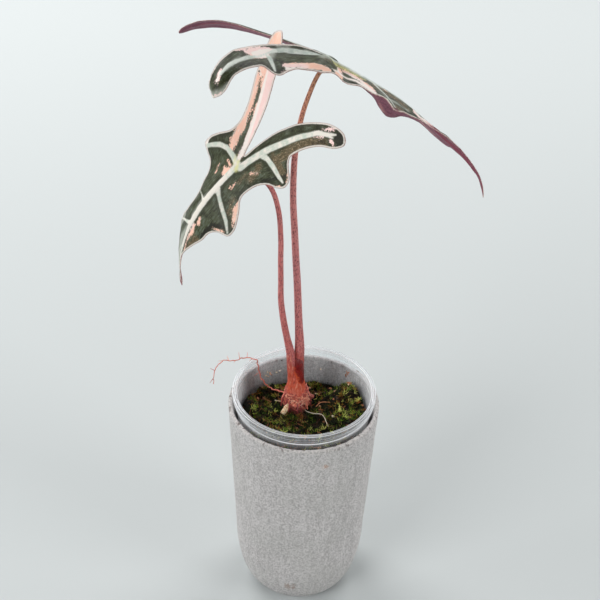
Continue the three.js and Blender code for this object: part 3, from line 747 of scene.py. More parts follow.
@dataclass(frozen=True)
class LeafTop:
    """Satin olive upper face: pale veins, brown flecks, grey mist that is partly painted sheen, and torn
    pink, peach and cream.
    """

    name: str
    vein_dull: tuple
    vein_pale: tuple
    dark: tuple = tone(34, 36, 14)
    green: tuple = tone(70, 76, 50)
    slate: tuple = tone(96, 106, 90)
    pink: tuple = tone(255, 222, 216)
    peach: tuple = tone(255, 206, 182)

    def material(self) -> Material:
        """Make the finish.

        Returns:
            The material.
        """
        graph = Graph(self.name)
        flat = flat_place(graph)
        streaked = graph.attribute("streak", "Vector")
        soft = graph.uneven(flat, 0.22)
        fine = graph.uneven(flat, 1.1, 4, 0.65)
        lines = graph.uneven(graph.stretch(streaked, (0.15, 1.0, 1.0)), 1.0, 4, 0.62)
        hairs = graph.uneven(graph.stretch(streaked, (0.3, 2.6, 1.0)), 1.0, 3, 0.6)
        ragged = graph.weigh((soft, 2.2), (lines, 3.4), (fine, 1.6), (hairs, 1.4))
        depth = graph.weigh((soft, 0.7), (lines, 1.0), (fine, 0.35), (hairs, 0.5))
        colour = graph.mix(graph.band(depth, -0.17, 0.02), self.dark, self.green)
        colour = graph.mix(graph.band(depth, 0.04, 0.2), colour, self.slate)
        beside = graph.marked("vein", (ragged, 0.6))
        shadow = graph.maths("MULTIPLY", graph.band(beside, 0.4, 0.9), graph.band(beside, 3.4, 1.2, 0.6))
        border = graph.marked("rim", (ragged, 1.6))
        shadow = graph.maths("MAXIMUM", shadow, graph.band(border, 4.6, 1.6, 0.75))
        colour = graph.mix(shadow, colour, self.dark)
        colour = self.flecked(graph, colour, ragged, fine, lines, hairs)
        # Grey mist: grey marbling in the leaf, and painted sheen where the satin face catches the light.
        mist_and_sheen = graph.marked("mist_and_sheen", (ragged, 0.9))
        colour = graph.mix(graph.band(mist_and_sheen, 1.6, -1.6, 0.85), colour, tone(176, 180, 168))
        gloom = graph.marked("shade", (ragged, 1.0))
        colour = graph.mix(graph.band(gloom, 0.7, -0.7, 0.9), colour, tone(26, 24, 8))
        blush = graph.marked("blush", (ragged, 0.8), (fine, 2.6), (hairs, 1.6))
        rosy = graph.mix(graph.band(graph.attribute("rose"), 1.5, -1.5), self.peach, self.pink)
        rosy = graph.mix(graph.band(lines, 0.02, 0.16, 0.6), rosy, tone(255, 240, 232))
        rosy = graph.mix(graph.band(hairs, 0.06, 0.2, 0.4), rosy, tone(240, 184, 166))
        colour = graph.mix(graph.band(blush, 0.3, -0.25), colour, rosy)
        cream = graph.marked("cream", (ragged, 0.4))
        colour = graph.mix(graph.band(cream, 0.45, -0.6), colour, tone(255, 244, 236))
        vein = graph.marked("vein", (ragged, 0.22), (fine, 0.7))
        pale = graph.band(graph.weigh((soft, 1.0), (hairs, 0.8)), -0.2, 0.24)
        pale = graph.maths("MAXIMUM", pale, graph.band(graph.attribute("rose"), 0.5, -0.5, 0.85))
        shaft = graph.mix(pale, self.vein_dull, self.vein_pale)
        colour = graph.mix(graph.band(vein, 0.5, -0.4, 0.96), colour, shaft)
        heart = graph.marked("heart", (ragged, 0.8))
        colour = graph.mix(graph.band(heart, 1.2, -1.4, 0.85), colour, tone(238, 234, 158))
        return self.edged(graph, colour, ragged, fine, vein)

    def flecked(self, graph: Graph, colour: Socket, ragged: Socket, fine: Socket, lines: Socket,
                hairs: Socket) -> Socket:
        """Streak the green with brown and strew it with tan flecks.

        Args:
            graph: the graph to add to.
            colour: the green so far.
            ragged, fine, lines, hairs: its random grains.

        Returns:
            The colour with brown in it.
        """
        brown = graph.marked("tan", (ragged, 1.2))
        colour = graph.mix(graph.band(brown, 1.5, -1.3, 0.8), colour, tone(88, 74, 48))
        striped = graph.maths("MULTIPLY", graph.band(brown, 2.2, -0.6), graph.band(hairs, 0.03, 0.13, 0.55))
        colour = graph.mix(striped, colour, tone(196, 170, 134))
        spots = graph.maths("MULTIPLY", graph.band(brown, 3.0, 0.0), graph.band(fine, 0.09, 0.15, 0.7))
        colour = graph.mix(spots, colour, tone(232, 204, 172))
        strewn = graph.maths("MULTIPLY", graph.band(lines, 0.1, 0.16), graph.band(fine, 0.05, 0.12, 0.7))
        return graph.mix(strewn, colour, tone(150, 142, 104))

    def edged(self, graph: Graph, colour: Socket, ragged: Socket, fine: Socket,
              vein: Socket) -> Material:
        """Line the margin, flush the tip and close the graph.

        Args:
            graph: the graph to add to.
            colour: the colour so far.
            ragged, fine: random grains.
            vein: the distance from the veins, roughened.

        Returns:
            The finished material.
        """
        rim = graph.marked("rim", (fine, 0.9))
        colour = graph.mix(graph.band(rim, 1.15, 0.75, 0.9), colour, tone(232, 224, 214))
        colour = graph.mix(graph.band(rim, 0.38, 0.12, 0.75), colour, tone(164, 124, 120))
        dusk = graph.marked("dusk", (ragged, 1.2))
        colour = graph.mix(graph.band(dusk, 2.0, -1.6, 0.95), colour, tone(128, 36, 60))
        grain = graph.grain(flat_place(graph), 0.9, 4)
        height = graph.weigh((grain, 1.0), (graph.band(vein, 0.6, -0.6), 0.4))
        return graph.skin(colour, 0.46, 0.32, graph.bump(height, 0.0003))


def flat_place(graph: Graph) -> Socket:
    """Read a blade's flat place, in millimetres."""
    return graph.attribute("flat", "Vector")


@dataclass(frozen=True)
class LeafUnder:
    """Burgundy underside, streaked along its ribs and rosier where the upper face is pink."""

    def material(self) -> Material:
        """Make the finish.

        Returns:
            The material.
        """
        graph = Graph("leaf_under")
        fine = graph.uneven(flat_place(graph), 0.9, 4)
        streaked = graph.stretch(graph.attribute("streak", "Vector"), (0.2, 1.6, 1.0))
        lines = graph.uneven(streaked, 1.0, 4, 0.62)
        depth = graph.weigh((fine, 0.6), (lines, 1.0))
        colour = graph.mix(graph.band(depth, -0.18, 0.2), tone(98, 32, 58), tone(146, 80, 102))
        colour = graph.mix(graph.band(graph.attribute("dusk"), 4.0, -2.0, 0.7), colour, tone(122, 34, 58))
        vein = graph.marked("vein", (fine, 1.0))
        colour = graph.mix(graph.band(vein, 0.7, -0.7, 0.5), colour, tone(166, 96, 104))
        blush = graph.marked("blush", (lines, 3.5), (fine, 2.0))
        colour = graph.mix(graph.band(blush, 0.8, -1.0, 0.6), colour, tone(206, 146, 140))
        return graph.skin(colour, 0.44, 0.35, graph.bump(depth, 0.0003))


@dataclass(frozen=True)
class LeafRim:
    """Thin purple-brown line along the cut of the margin."""

    def material(self) -> Material:
        """Make the finish.

        Returns:
            The material.
        """
        graph = Graph("leaf_rim")
        grain = graph.grain(flat_place(graph), 0.8, 3)
        colour = graph.mix(graph.band(grain, 0.4, 0.6), tone(150, 108, 104), tone(206, 176, 166))
        return graph.skin(colour, 0.45)


# Sub-assemblies


@dataclass
class CementPot:
    """Slim cement pot with a rounded foot and a slightly ragged lip; sizes in millimetres."""

    height: float = 156.0
    top_radius: float = 50.0
    shoulder_radius: float = 44.8
    shoulder_height: float = 48.0
    foot_radius: float = 29.0
    wall: float = 2.6
    floor: float = 14.0
    floor_radius: float = 33.0
    foot_thickening: float = 1.4
    roughness: float = 0.16
    steps: int = 288

    def profile(self) -> Array:
        """Draw the section from the base round the lip to the inner floor.

        Returns:
            Rows of radius and height, in metres.
        """
        top, level, wall, floor = self.top_radius, self.height, self.wall, self.floor
        shoulder, bend = self.shoulder_radius, self.shoulder_height
        run = shoulder - self.foot_radius
        inner_run = shoulder - wall - self.foot_thickening - self.floor_radius
        turns = np.linspace(0, math.pi / 2, 22)
        rise = np.linspace(0, 1, 80)[1:-1]
        outside = [(radius, 0.0) for radius in (0.0, 10.0, 20.0)]
        outside += [(self.foot_radius + run * math.sin(t), bend * (1 - math.cos(t))) for t in turns]
        inside = [(self.floor_radius + inner_run * math.sin(t), floor + (bend - floor) * (1 - math.cos(t)))
                  for t in turns]
        side = [(shoulder + (top - shoulder) * s, bend + (level - 1 - bend) * s) for s in rise]
        lip = [(top - 0.02, level - 1.2), (top - 0.1, level - 0.7), (top - 0.35, level - 0.3),
               (top - 0.7, level - 0.05), (top - 1.1, level), (top - 1.6, level), (top - 2.1, level - 0.1),
               (top - 2.45, level - 0.5), (top - wall, level - 1)]
        back = [(top - wall - (top - wall - inside[-1][0]) * s, level - 1 - (level - 1 - bend) * s)
                for s in rise[::3]]
        return metres(outside + side + lip + back + inside[::-1] + [(0.0, floor)])

    def build(self) -> None:
        """Spin the pot and roughen its outside and lip."""
        mesh = turned(self.profile(), self.steps)
        for vert in mesh.verts:
            height = vert.co.z / MM
            reach = vert.co.xy.length / MM
            if reach < 5 or (height < 0.5 and reach < self.foot_radius - 1):
                continue
            place = Vector((vert.co.x / MM, vert.co.y / MM, height * 0.3))
            uneven = noise.fractal(place * 0.55, 0.9, 2.1, 4) * self.roughness
            out = Vector((vert.co.x, vert.co.y, 0)).normalized()
            vert.co += out * min(uneven, 0.1) * MM
            if height > self.height - 1.0:
                chip = noise.noise(place * 0.4) + 0.6 * noise.noise(place * 1.3)
                vert.co.z -= max(chip, 0) * 0.7 * MM
        show("pot", mesh, [Cement().material()], ["cement_pot"])


@dataclass
class GrowCup:
    """Clear cup with a stacking rim; sizes in millimetres."""

    rim_radius: float = 47.5
    rim_top: float = 166.0
    bead: float = 3.0
    lip_radius: float = 44.3
    collar_radius: float = 46.6
    collar_bottom: float = 158.6
    neck_radius: float = 45.0
    base_radius: float = 32.0
    wall: float = 1.1
    base: float = 14.3
    steps: int = 192

    def inside(self, height: float) -> float:
        """Give the radius of the wall's inner face at a height."""
        share = (height - self.base) / (self.collar_bottom - self.base)
        return self.base_radius + (self.neck_radius - self.base_radius) * share - self.wall

    def profile(self) -> Array:
        """Draw the section from the base round the rim to the inner floor.

        Returns:
            Rows of radius and height, in metres.
        """
        base, low, high = self.base, self.collar_bottom, self.rim_top
        foot, collar, rim, lip = self.base_radius, self.collar_radius, self.rim_radius, self.lip_radius
        bead = high - self.bead
        step = low - 1.5
        step_radius = self.inside(step)
        levels = np.linspace(base + 1.5, low - 0.4, 24)[1:]
        outside = [(0, base), (foot - 1.5, base), (foot - 0.4, base + 0.5), (foot, base + 1.5)]
        outside += [(self.inside(level) + self.wall, level) for level in levels]
        edge = [(collar - 0.3, low - 0.1), (collar, low + 0.3), (collar, bead - 0.6), (rim - 0.2, bead - 0.1),
                (rim, bead + 0.4)]
        top = [(rim, high - 0.9), (rim - 0.25, high - 0.3), (rim - 0.8, high), (rim - 1.4, high - 0.28),
               (rim - 1.9, high - 0.05), (lip + 0.7, high), (lip + 0.2, high - 0.25), (lip, high - 0.8),
               (lip - 0.1, bead)]
        back = [(step_radius + 0.25, low), (step_radius, step)]
        back += [(self.inside(level), level) for level in levels[::-1][1:-1]]
        back += [(self.inside(base) - 1.5, base + self.wall), (0, base + self.wall)]
        return metres(outside + edge + top + back)

    def build(self) -> None:
        """Spin the cup."""
        mesh = turned(self.profile(), self.steps)
        show("cup", mesh, [ClearPlastic().material()], ["clear_cup"])


@dataclass
class MossBed:
    """Growing mix heaped in the cup, with its moss, bark and fibres; sizes in millimetres."""

    level: float = 139.0
    bottom: float = 15.7
    side_gap: float = 0.45
    cushions: int = 110
    reach: float = 42.0
    crown: Point = (-5.0, 11.0)
    crown_clear: float = 7.5
    crown_hollow: Point = (7.6, 20.0)
    mounds: tuple = ((31, 19, 13, 12), (40, -4, 9, 11), (-38, 9, 6, 11), (-14, -28, 3, 13), (-4, 40, -4, 10))
    sprigs: int = 1500
    undergrowth: int = 750
    chips: int = 150
    fibres: int = 70
    clumps: tuple = (
        (-28, 5, 6, 0.45), (-19, 8, 4, 0.5), (-36, -1, 5, 0.42), (-24, -3, 5, 0.48), (16, 23, 6, 0.74),
        (34, 13, 6, 0.86), (-12, -12, 6, 0.82), (-17, -6, 5, 0.8), (21, -6, 5, 0.5), (31, 0, 5, 0.52),
        (34, 24, 4, 0.88), (-2, -12, 4, 0.4), (28, 31, 5, 0.02), (10, -3, 7, 0.05),
        (12, -18, 2, 0.67), (-30, -22, 6, 0.46), (0, 34, 7, 0.5), (-20, 34, 6, 0.72), (22, -30, 6, 0.6))
    notable: tuple = (
        (24.6, 7.6, 0.66, 1.1), (26.6, 10.7, 0.68, 1.0), (25.2, 3, 0.64, 1.1), (-19, 7.5, 0.62, 1.0),
        (12, -18, 0.68, 1.0), (-31, 6, 0.5, 1.1), (30, -4, 0.56, 1.1), (20, -12, 0.6, 1.0))
    flakes: tuple = (
        (19.8, 1.2, 0.95, 1.0), (-1.2, -18.8, 0.8, 1.4), (1.6, -19.4, 0.78, 1.1), (-31, 16, 0.76, 1.1),
        (30.1, 22.5, 0.84, 0.9), (39.4, 7.3, 0.7, 1.0), (12.4, -17.2, 0.9, 0.7), (30.5, 24.7, 0.62, 1.6),
        (-12, 14.4, 0.9, 0.8), (8, 20, 0.88, 0.6), (-24, -16, 0.8, 0.7), (18, 30, 0.74, 0.9))
    threads: tuple = (
        ((0.7, 15.2, 149), (1.1, 5.8, 143), (6.5, 3.2, 142.4), (12.6, 0.4, 141.6), (16.7, -8.5, 141.6)),
        ((-19.4, 11, 146), (-14.6, 11.1, 145), (-12.8, 9.4, 144)),
        ((8.4, 8.4, 144), (11.6, 11.4, 145.2), (18, 12.8, 144.4)))
    wall_scraps: tuple = (
        (126, 147.6, 2.6, 0.86), (124, 149.6, 2.0, 0.8), (128.5, 149, 1.8, 0.9), (126.5, 151.4, 1.8, 0.94),
        (122, 147.8, 1.6, 0.74), (117, 148.6, 1.2, 0.98), (113.5, 149.2, 1.0, 0.98), (47.4, 155, 3.4, 0.66),
        (48.4, 152.4, 3.0, 0.6), (45.6, 156, 1.8, 0.72), (111.5, 157.2, 1.6, 0.08), (75, 150, 1.0, 0.98))
    collar_sprigs: int = 46
    cup: GrowCup | None = None

    def heaps(self) -> list[Point]:
        """List every mound and cushion.

        Returns:
            Their (x, y, rise, spread), in millimetres.
        """
        draw = seeded(2810)
        heaps = list(self.mounds)
        for _ in range(self.cushions):
            reach = self.reach * math.sqrt(draw())
            turn = math.tau * draw()
            rise = 1 + 2.6 * draw()
            heaps.append((reach * math.cos(turn), reach * math.sin(turn), rise, 1.9 + 1.6 * draw()))
        return heaps

    def height(self, x: Array, y: Array) -> Array:
        """Give the height of the heaped surface.

        Args:
            x, y: places in millimetres.

        Returns:
            Heights in millimetres.
        """
        away = np.hypot(x - self.crown[0], y - self.crown[1])
        rise = sum(top * np.exp(-((x - middle_x) ** 2 + (y - middle_y) ** 2) / spread ** 2)
                   for middle_x, middle_y, top, spread in self.heaps())
        return self.level + smoothstep(away, *self.crown_hollow) * rise

    def build(self) -> None:
        """Build the bed and scatter what grows and lies on it."""
        self.build_bed()
        self.build_sprigs()
        self.build_chips()
        self.build_fibres()

    def surface(self, x: float, y: float) -> float:
        """Give the height of one place."""
        return float(self.height(np.array([x]), np.array([y]))[0])

    def build_bed(self) -> None:
        """Spin the body and heap its top."""
        rim = self.cup.inside(self.level - 2) - self.side_gap
        profile = [(0, self.bottom), (self.cup.inside(self.bottom + 3) - 3.4, self.bottom)]
        levels = np.linspace(self.bottom + 3, self.level - 8, 12)
        profile += [(self.cup.inside(level) - self.side_gap, level) for level in levels]
        profile += [(rim * share, self.level) for share in np.linspace(1, 0, 64)]
        mesh = turned(metres(profile), 220)
        top = [vert for vert in mesh.verts if vert.co.z > (self.level - 1) * MM]
        x = np.array([vert.co.x for vert in top]) / MM
        y = np.array([vert.co.y for vert in top]) / MM
        for vert, height in zip(top, self.height(x, y)):
            rough = noise.fractal(vert.co * 260, 0.8, 2.2, 4)
            vert.co.z = (height + 0.9 * rough) * MM
        show("growing_mix", mesh, [Mix().material()], ["moss_bed"])

    def spot(self, draw: random.Random, reach: float) -> Vector:
        """Pick a random place on the surface.

        Args:
            draw: the random source.
            reach: the largest distance from the cup's axis.

        Returns:
            The place in metres, on the surface.
        """
        while True:
            radius = reach * math.sqrt(draw.random())
            turn = draw.uniform(0, math.tau)
            x, y = radius * math.cos(turn), radius * math.sin(turn)
            if math.hypot(x - self.crown[0], y - self.crown[1]) > self.crown_clear:
                return Vector((x, y, self.surface(x, y))) * MM

    def sprig(self, leaves: int, length: float, width: float, spread: float) -> Mesh:
        """Make one tuft of slim three-sided leaves.

        Args:
            leaves: how many leaves it has.
            length, width: the size of a leaf in millimetres.
            spread: how far the leaves lean out, in degrees.

        Returns:
            The tuft, its foot at the origin.
        """
        mesh = bmesh.new()
        draw = random.Random(leaves)
        for i in range(leaves):
            lean = Matrix.Rotation(math.radians(spread * draw.uniform(0.35, 1.0)), 4, "X")
            turn = Matrix.Rotation(math.tau * (i + draw.uniform(-0.2, 0.2)) / leaves, 4, "Z")
            size = length * draw.uniform(0.6, 1.0) * MM
            flat = Matrix.Diagonal((1.0, 0.4, 1.0, 1.0))
            lift = Matrix.Translation((0, 0, size / 2))
            bmesh.ops.create_cone(mesh, cap_ends=True, cap_tris=True, segments=3, radius1=width * MM,
                                  radius2=width * 0.12 * MM, depth=size, matrix=turn @ lean @ lift @ flat)
        return mesh

    def clump_shade(self, x: float, y: float, shade: float) -> float:
        """Draw a sprig's shade towards that of the clump it stands in.

        Args:
            x, y: where it stands, in millimetres.
            shade: the shade it would have alone.

        Returns:
            Its shade, 0 to 1.
        """
        for clump_x, clump_y, spread, clump in self.clumps:
            share = 0.9 * math.exp(-((x - clump_x) ** 2 + (y - clump_y) ** 2) / spread ** 2)
            shade += (clump - shade) * share
        return min(max(shade, 0.0), 1.0)

    def build_sprigs(self) -> None:
        """Scatter tufts of moss in drifts, with dark gaps between them and a few pale large ones; small
        near-black sprigs underneath add painted shade.
        """
        draw = random.Random(7)
        kinds = [self.sprig(6, 4.2, 0.6, 72), self.sprig(5, 4.8, 0.52, 58), self.sprig(7, 3.2, 0.7, 86)]
        broad = self.sprig(3, 3.2, 1.0, 66)
        mesh = bmesh.new()
        placed = 0
        while placed < self.sprigs:
            place = self.spot(draw, self.cup.inside(self.level) - 1.4)
            drift = noise.noise(place * 210) * 0.5 + 0.5
            if drift < 0.44 + draw.uniform(-0.12, 0.12):
                continue
            placed += 1
            wide = noise.noise(place * 80) * 0.5 + 0.5
            alone = draw.choice([0.0, 0.05, 0.12, 0.2, 0.3, 0.45, 0.78, 0.86, 1.0])
            shade = self.clump_shade(place.x / MM, place.y / MM, alone) + draw.triangular(-0.34, 0.16, -0.04)
            self.plant(mesh, draw, draw.choice(kinds), place, draw.uniform(0.45, 1.05) * (0.7 + 0.5 * wide),
                       min(max(shade, 0), 1))
        # Small sprigs, most of them near-black: painted shade low in the moss, with a few brown ones.
        for _ in range(self.undergrowth):
            place = self.spot(draw, self.cup.inside(self.level) - 2.0)
            shade = draw.choice([0.0, 0.05, 0.1, 0.16, 0.24, 0.86, 0.96, 1.0])
            self.plant(mesh, draw, kinds[1], place, draw.uniform(0.35, 0.75), shade)
        for i in range(self.collar_sprigs):
            turn = math.tau * (i + draw.uniform(-0.4, 0.4)) / self.collar_sprigs
            reach = draw.uniform(8.2, 11.0)
            x, y = self.crown[0] + reach * math.cos(turn), self.crown[1] + reach * math.sin(turn)
            place = Vector((x, y, self.surface(x, y) + 0.6)) * MM
            shade = draw.choice([0.0, 0.08, 0.16, 0.3, 0.9, 1.0])
            self.plant(mesh, draw, kinds[0], place, draw.uniform(0.8, 1.15), shade)
        for x, y, shade, size in self.notable:
            for _ in range(2):
                east, north = x + draw.uniform(-1.2, 1.2), y + draw.uniform(-1.2, 1.2)
                place = Vector((east, north, self.surface(x, y) + 0.8)) * MM
                self.plant(mesh, draw, broad, place, size * draw.uniform(0.7, 1.0), shade)
        self.hold_in(mesh)
        show("moss_sprigs", mesh, [Greenery().material()], smooth=False)

    def hold_in(self, mesh: Mesh) -> None:
        """Draw in whatever would poke through the wall of the cup.

        Args:
            mesh: the scattered pieces, changed in place.
        """
        for vert in mesh.verts:
            limit = (self.cup.inside(vert.co.z / MM) - 0.35) * MM
            reach = vert.co.xy.length
            if reach > limit:
                vert.co.xy = vert.co.xy * (limit / reach)

    def plant(self, mesh: Mesh, draw: random.Random, kind: Mesh, place: Vector,
              size: float, shade: float) -> None:
        """Stand one tuft, leaning and turned at random, a little sunk.

        Args:
            mesh: where it goes.
            draw: the random source.
            kind: its shape.
            place: where it stands, in metres.
            size: its size, 1 as made.
            shade: its shade.
        """
        lean = tilt(draw, 0.7)
        turn = spin(draw)
        sink = Matrix.Translation(place - UPWARDS * 0.5 * MM)
        scatter(mesh, kind, sink @ lean @ turn @ Matrix.Scale(size, 4), shade)

    def build_chips(self) -> None:
        """Scatter bark chips and grit."""
        draw = random.Random(19)
        chip = bmesh.new()
        bmesh.ops.create_icosphere(chip, subdivisions=1, radius=1.0 * MM)
        mesh = bmesh.new()
        for _ in range(self.chips):
            place = self.spot(draw, self.cup.inside(self.level) - 2.5)
            size = Matrix.Diagonal((draw.uniform(0.9, 2.4), draw.uniform(0.5, 1.3),
                                    draw.uniform(0.3, 0.8), 1))
            turn = spin(draw)
            tip = Matrix.Rotation(draw.uniform(-0.5, 0.5), 4, "Y")
            shade = draw.choice([0.02, 0.05, 0.1, 0.15, 0.2, 0.3, 0.35, 0.45, 0.6, 0.8])
            scatter(mesh, chip, Matrix.Translation(place) @ turn @ tip @ size, shade)
        for x, y, shade, reach in self.flakes:
            place = Vector((x, y, self.surface(x, y) + 1.4)) * MM
            turn = spin(draw)
            size = Matrix.Diagonal((reach * 1.3, reach * 0.8, reach * 0.4, 1))
            scatter(mesh, chip, Matrix.Translation(place) @ turn @ size, shade)
        for turn, height, reach, shade in self.wall_scraps:
            lean = tilt(draw, 0.8)
            side = Matrix.Rotation(math.radians(turn), 4, "Z")
            place = side @ Vector((self.cup.inside(height) - 0.5, 0, height)) * MM
            size = Matrix.Diagonal((0.4, 0.6, reach * 0.6, 1))
            scatter(mesh, chip, Matrix.Translation(place) @ side @ lean @ size, shade)
        chip.free()
        roughen(mesh, 900, 0.45)
        self.hold_in(mesh)
        show("bark_chips", mesh, [Chips().material()], smooth=False)

    def build_fibres(self) -> None:
        """Lay thin brown fibres over the moss."""
        draw = random.Random(23)
        mesh = bmesh.new()
        for _ in range(self.fibres):
            start = self.spot(draw, 38)
            turn = draw.uniform(0, math.tau)
            length = draw.uniform(4, 11)
            path = []
            for share in np.linspace(0, 1, 5):
                turn += draw.uniform(-0.5, 0.5)
                x = start.x / MM + math.cos(turn) * length * share
                y = start.y / MM + math.sin(turn) * length * share
                if math.hypot(x, y) > 41:
                    break
                lift = 1.0 + 1.6 * math.sin(math.pi * share) * draw.random()
                height = self.surface(x, y) + lift
                path.append((x * MM, y * MM, height * MM, draw.uniform(0.1, 0.22) * MM))
            if len(path) > 2:
                grow_rod(mesh, smooth_curve(path, False, 1.2 * MM), 4, draw.uniform(0.1, 0.75))
        for thread, shade, thick in zip(self.threads, (0.98, 0.9, 0.72), (0.24, 0.3, 0.3)):
            path = [(x * MM, y * MM, max(z, self.surface(x, y) + 0.9) * MM, thick * MM) for x, y, z in thread]
            grow_rod(mesh, smooth_curve(path, False, 0.9 * MM), 5, shade)
        show("moss_fibres", mesh, [Chips().material()])


@dataclass
class Crown:
    """Rootstock with the petiole bases, torn sheath, cut stub and mat of roots; sizes in millimetres."""

    at: Point = (-5.0, 11.0)
    rings: tuple = ((112, 3.5), (118, 5.2), (128, 6.0), (141, 6.2), (144.5, 7.4), (149, 7.9), (154, 7.2),
                    (160, 6.2), (168, 5.2), (175, 4.3))
    leans_above: float = 150.0
    lean: float = 0.06
    front_base: tuple = ((-6.5, 10.2, 150, 3.0), (-8.6, 9.0, 172, 2.9), (-9.9, 7.6, 190.5, 2.75))
    back_base: tuple = ((-5.2, 11.2, 150, 4.0), (-4.4, 11.1, 172, 3.6), (-4.0, 11.0, 190.5, 3.3))
    sheath: tuple = ((-5.0, 11.0, 152, 5.2), (-4.8, 10.6, 168, 4.5), (-4.9, 10.2, 177, 4.1),
                     (-4.9, 9.9, 181.5, 3.7),
                     (-5.0, 9.7, 184.2, 2.9), (-5.0, 9.6, 185.8, 1.6), (-5.0, 9.6, 186.3, 0.4))
    cut_stub: tuple = ((-7.5, 8.5, 150, 1.7), (-11, 3.5, 147.2, 1.8), (-14, -0.5, 144.4, 1.7))
    root_end: tuple = ((-1, 11.5, 150, 2.0), (4, 12.2, 149.8, 1.9), (6.6, 12.4, 149.2, 1.3))
    rootlets: int = 15
    fibres: int = 420
    knobs: int = 200
    mat_levels: tuple = (145, 150, 155, 160)
    fibre_reach: tuple = (8.2, 7.8, 7.0, 6.2)
    knob_reach: tuple = (8.6, 7.9, 7.1, 6.2)

    def build(self) -> None:
        """Build the rootstock, what is fused to it and its roots."""
        skin = CrownSkin().material()
        mesh = bmesh.new()
        heights, radii = zip(*self.rings)
        levels = np.linspace(heights[0], heights[-1], 60)
        path = []
        for level in levels:
            lean = max(level - self.leans_above, 0) * self.lean
            path.append((self.at[0] - lean, self.at[1], level, float(np.interp(level, heights, radii))))
        grow_rod(mesh, np.array(path) * MM, 40, 0.3)
        for vert in mesh.verts:
            middle = Vector((self.at[0] * MM, self.at[1] * MM, vert.co.z))
            rough = noise.fractal(Vector((vert.co.x, vert.co.y, vert.co.z * 0.4)) * 420, 0.8, 2.1, 4)
            vert.co += (vert.co - middle).normalized() * 0.5 * rough * MM
        fused = ((self.front_base, 20, 0.4), (self.back_base, 24, 0.45), (self.sheath, 28, 1.0),
                 (self.cut_stub, 14, 0.2), (self.root_end, 12, 0.5))
        for stations, sides, shade in fused:
            grow_rod(mesh, smooth_curve(metres(stations), False, 1.2 * MM), sides, shade)
        show("rootstock", mesh, [skin], ["crown"])
        self.build_roots()

    def build_roots(self) -> None:
        """Grow the rootlets, the mat of fibres and the knobs round the rootstock."""
        mesh = bmesh.new()
        draw = seeded(41)
        for i in range(self.rootlets):
            turn = math.tau * (i + 0.6 * draw()) / self.rootlets
            reach = 9.8 + 1.8 * draw()
            start = 152 + 8 * draw()
            stations = ((3, start, 0.5), (7.4, start - 3.2, 0.55), (reach - 0.9, 148.6, 0.5),
                        (reach, 144.6, 0.4))
            east, north = math.cos(turn), math.sin(turn)
            path = [(self.at[0] + radius * east, self.at[1] + radius * north, height, thick)
                    for radius, height, thick in stations]
            shade = 0.2 + 0.45 * draw()
            rod = smooth_curve(metres(path), False, 0.8 * MM)
            wave = np.array([noise.noise_vector(Vector(row[:3]) * 420) for row in rod]) * 0.9 * MM
            grow_rod(mesh, np.hstack([rod[:, :3] + wave, rod[:, 3:]]), 7, shade)
        pick = random.Random(5)
        for _ in range(self.fibres):
            self.grow_fibre(mesh, pick)
        show("crown_roots", mesh, [RootSkin("crown_root_skin").material()])
        self.build_knobs(pick)

    def around(self, turn: float, radius: float, height: float) -> Vector:
        """Give a place beside the rootstock.

        Args:
            turn: the turn round it, in radians.
            radius, height: the distance from its axis and the height, in millimetres.

        Returns:
            The place in metres.
        """
        x = self.at[0] + radius * math.cos(turn)
        y = self.at[1] + radius * math.sin(turn)
        return Vector((x, y, height)) * MM

    def mat_shade(self, height: float, turn: float = 0.0) -> float:
        """Give the shade of the mat: mauve at the foot, peach higher up, palest in front, redder above.

        Args:
            height: the height in millimetres.
            turn: the turn round the rootstock, in radians.

        Returns:
            Its shade, 0 to 1.
        """
        front = 0.26 * math.exp(-((turn % math.tau - 4.85) / 0.55) ** 2 - ((height - 151.5) / 2.6) ** 2)
        return float(np.interp(height, [145, 148, 151, 154, 159], [0.12, 0.34, 0.6, 0.52, 0.36])) + front

    def grow_fibre(self, mesh: Mesh, pick: random.Random) -> None:
        """Grow one kinked fibre on the mat.

        Args:
            mesh: where it goes.
            pick: the random source.
        """
        turn = pick.uniform(0, math.tau)
        start = pick.uniform(146.5, 158)
        thick = pick.choice([0.1, 0.14, 0.18, 0.25, 0.3])
        base = float(np.interp(start, self.mat_levels, self.fibre_reach))
        drop = pick.uniform(-1, 4.5)
        sweep = pick.uniform(-0.9, 0.9)
        path = []
        for share in np.linspace(0, 1, 5):
            radius = base - 0.3 + pick.uniform(0.0, 1.6) + 0.6 * share
            height = max(start - drop * share + pick.uniform(-0.5, 0.5), 145.4)
            spot = self.around(turn + sweep * share, radius, height)
            path.append((*spot, thick * (1 - 0.4 * share) * MM))
        shade = min(self.mat_shade(start, turn) + pick.choice([-0.1, 0.0, 0.12, 0.26]), 0.94)
        grow_rod(mesh, smooth_curve(path, False, 0.9 * MM), 5, shade)

    def build_knobs(self, pick: random.Random) -> None:
        """Crowd small lumps of bark, scale and grit on the mat.

        Args:
            pick: the random source.
        """
        lump = bmesh.new()
        bmesh.ops.create_icosphere(lump, subdivisions=2, radius=MM)
        mesh = bmesh.new()
        for _ in range(self.knobs):
            height = pick.triangular(146.2, 158, 149)
            base = float(np.interp(height, self.mat_levels, self.knob_reach))
            spot = self.around(pick.uniform(0, math.tau), base + pick.uniform(-0.3, 0.9), height)
            size = pick.choice([0.35, 0.45, 0.55, 0.7, 0.9])
            stretch = Matrix.Diagonal((size * pick.uniform(0.7, 1.4), size * pick.uniform(0.7, 1.2), size, 1))
            turn = spin(pick)
            shade = min(self.mat_shade(height) + pick.choice([-0.15, 0.0, 0.1, 0.24]), 0.9)
            scatter(mesh, lump, Matrix.Translation(spot) @ turn @ stretch, shade)
        lump.free()
        roughen(mesh, 1100, 0.3)
        show("crown_knobs", mesh, [RootSkin("crown_knob_skin").material()])


@dataclass(frozen=True)
class Rib:
    """A main rib: its heading in the flat drawing, and how it and the folds beside it curve in space."""

    heading: float
    length: float
    bend: Point
    left: Point
    right: Point
    twist: Point = (0.0,)
    sway: float = 0.0


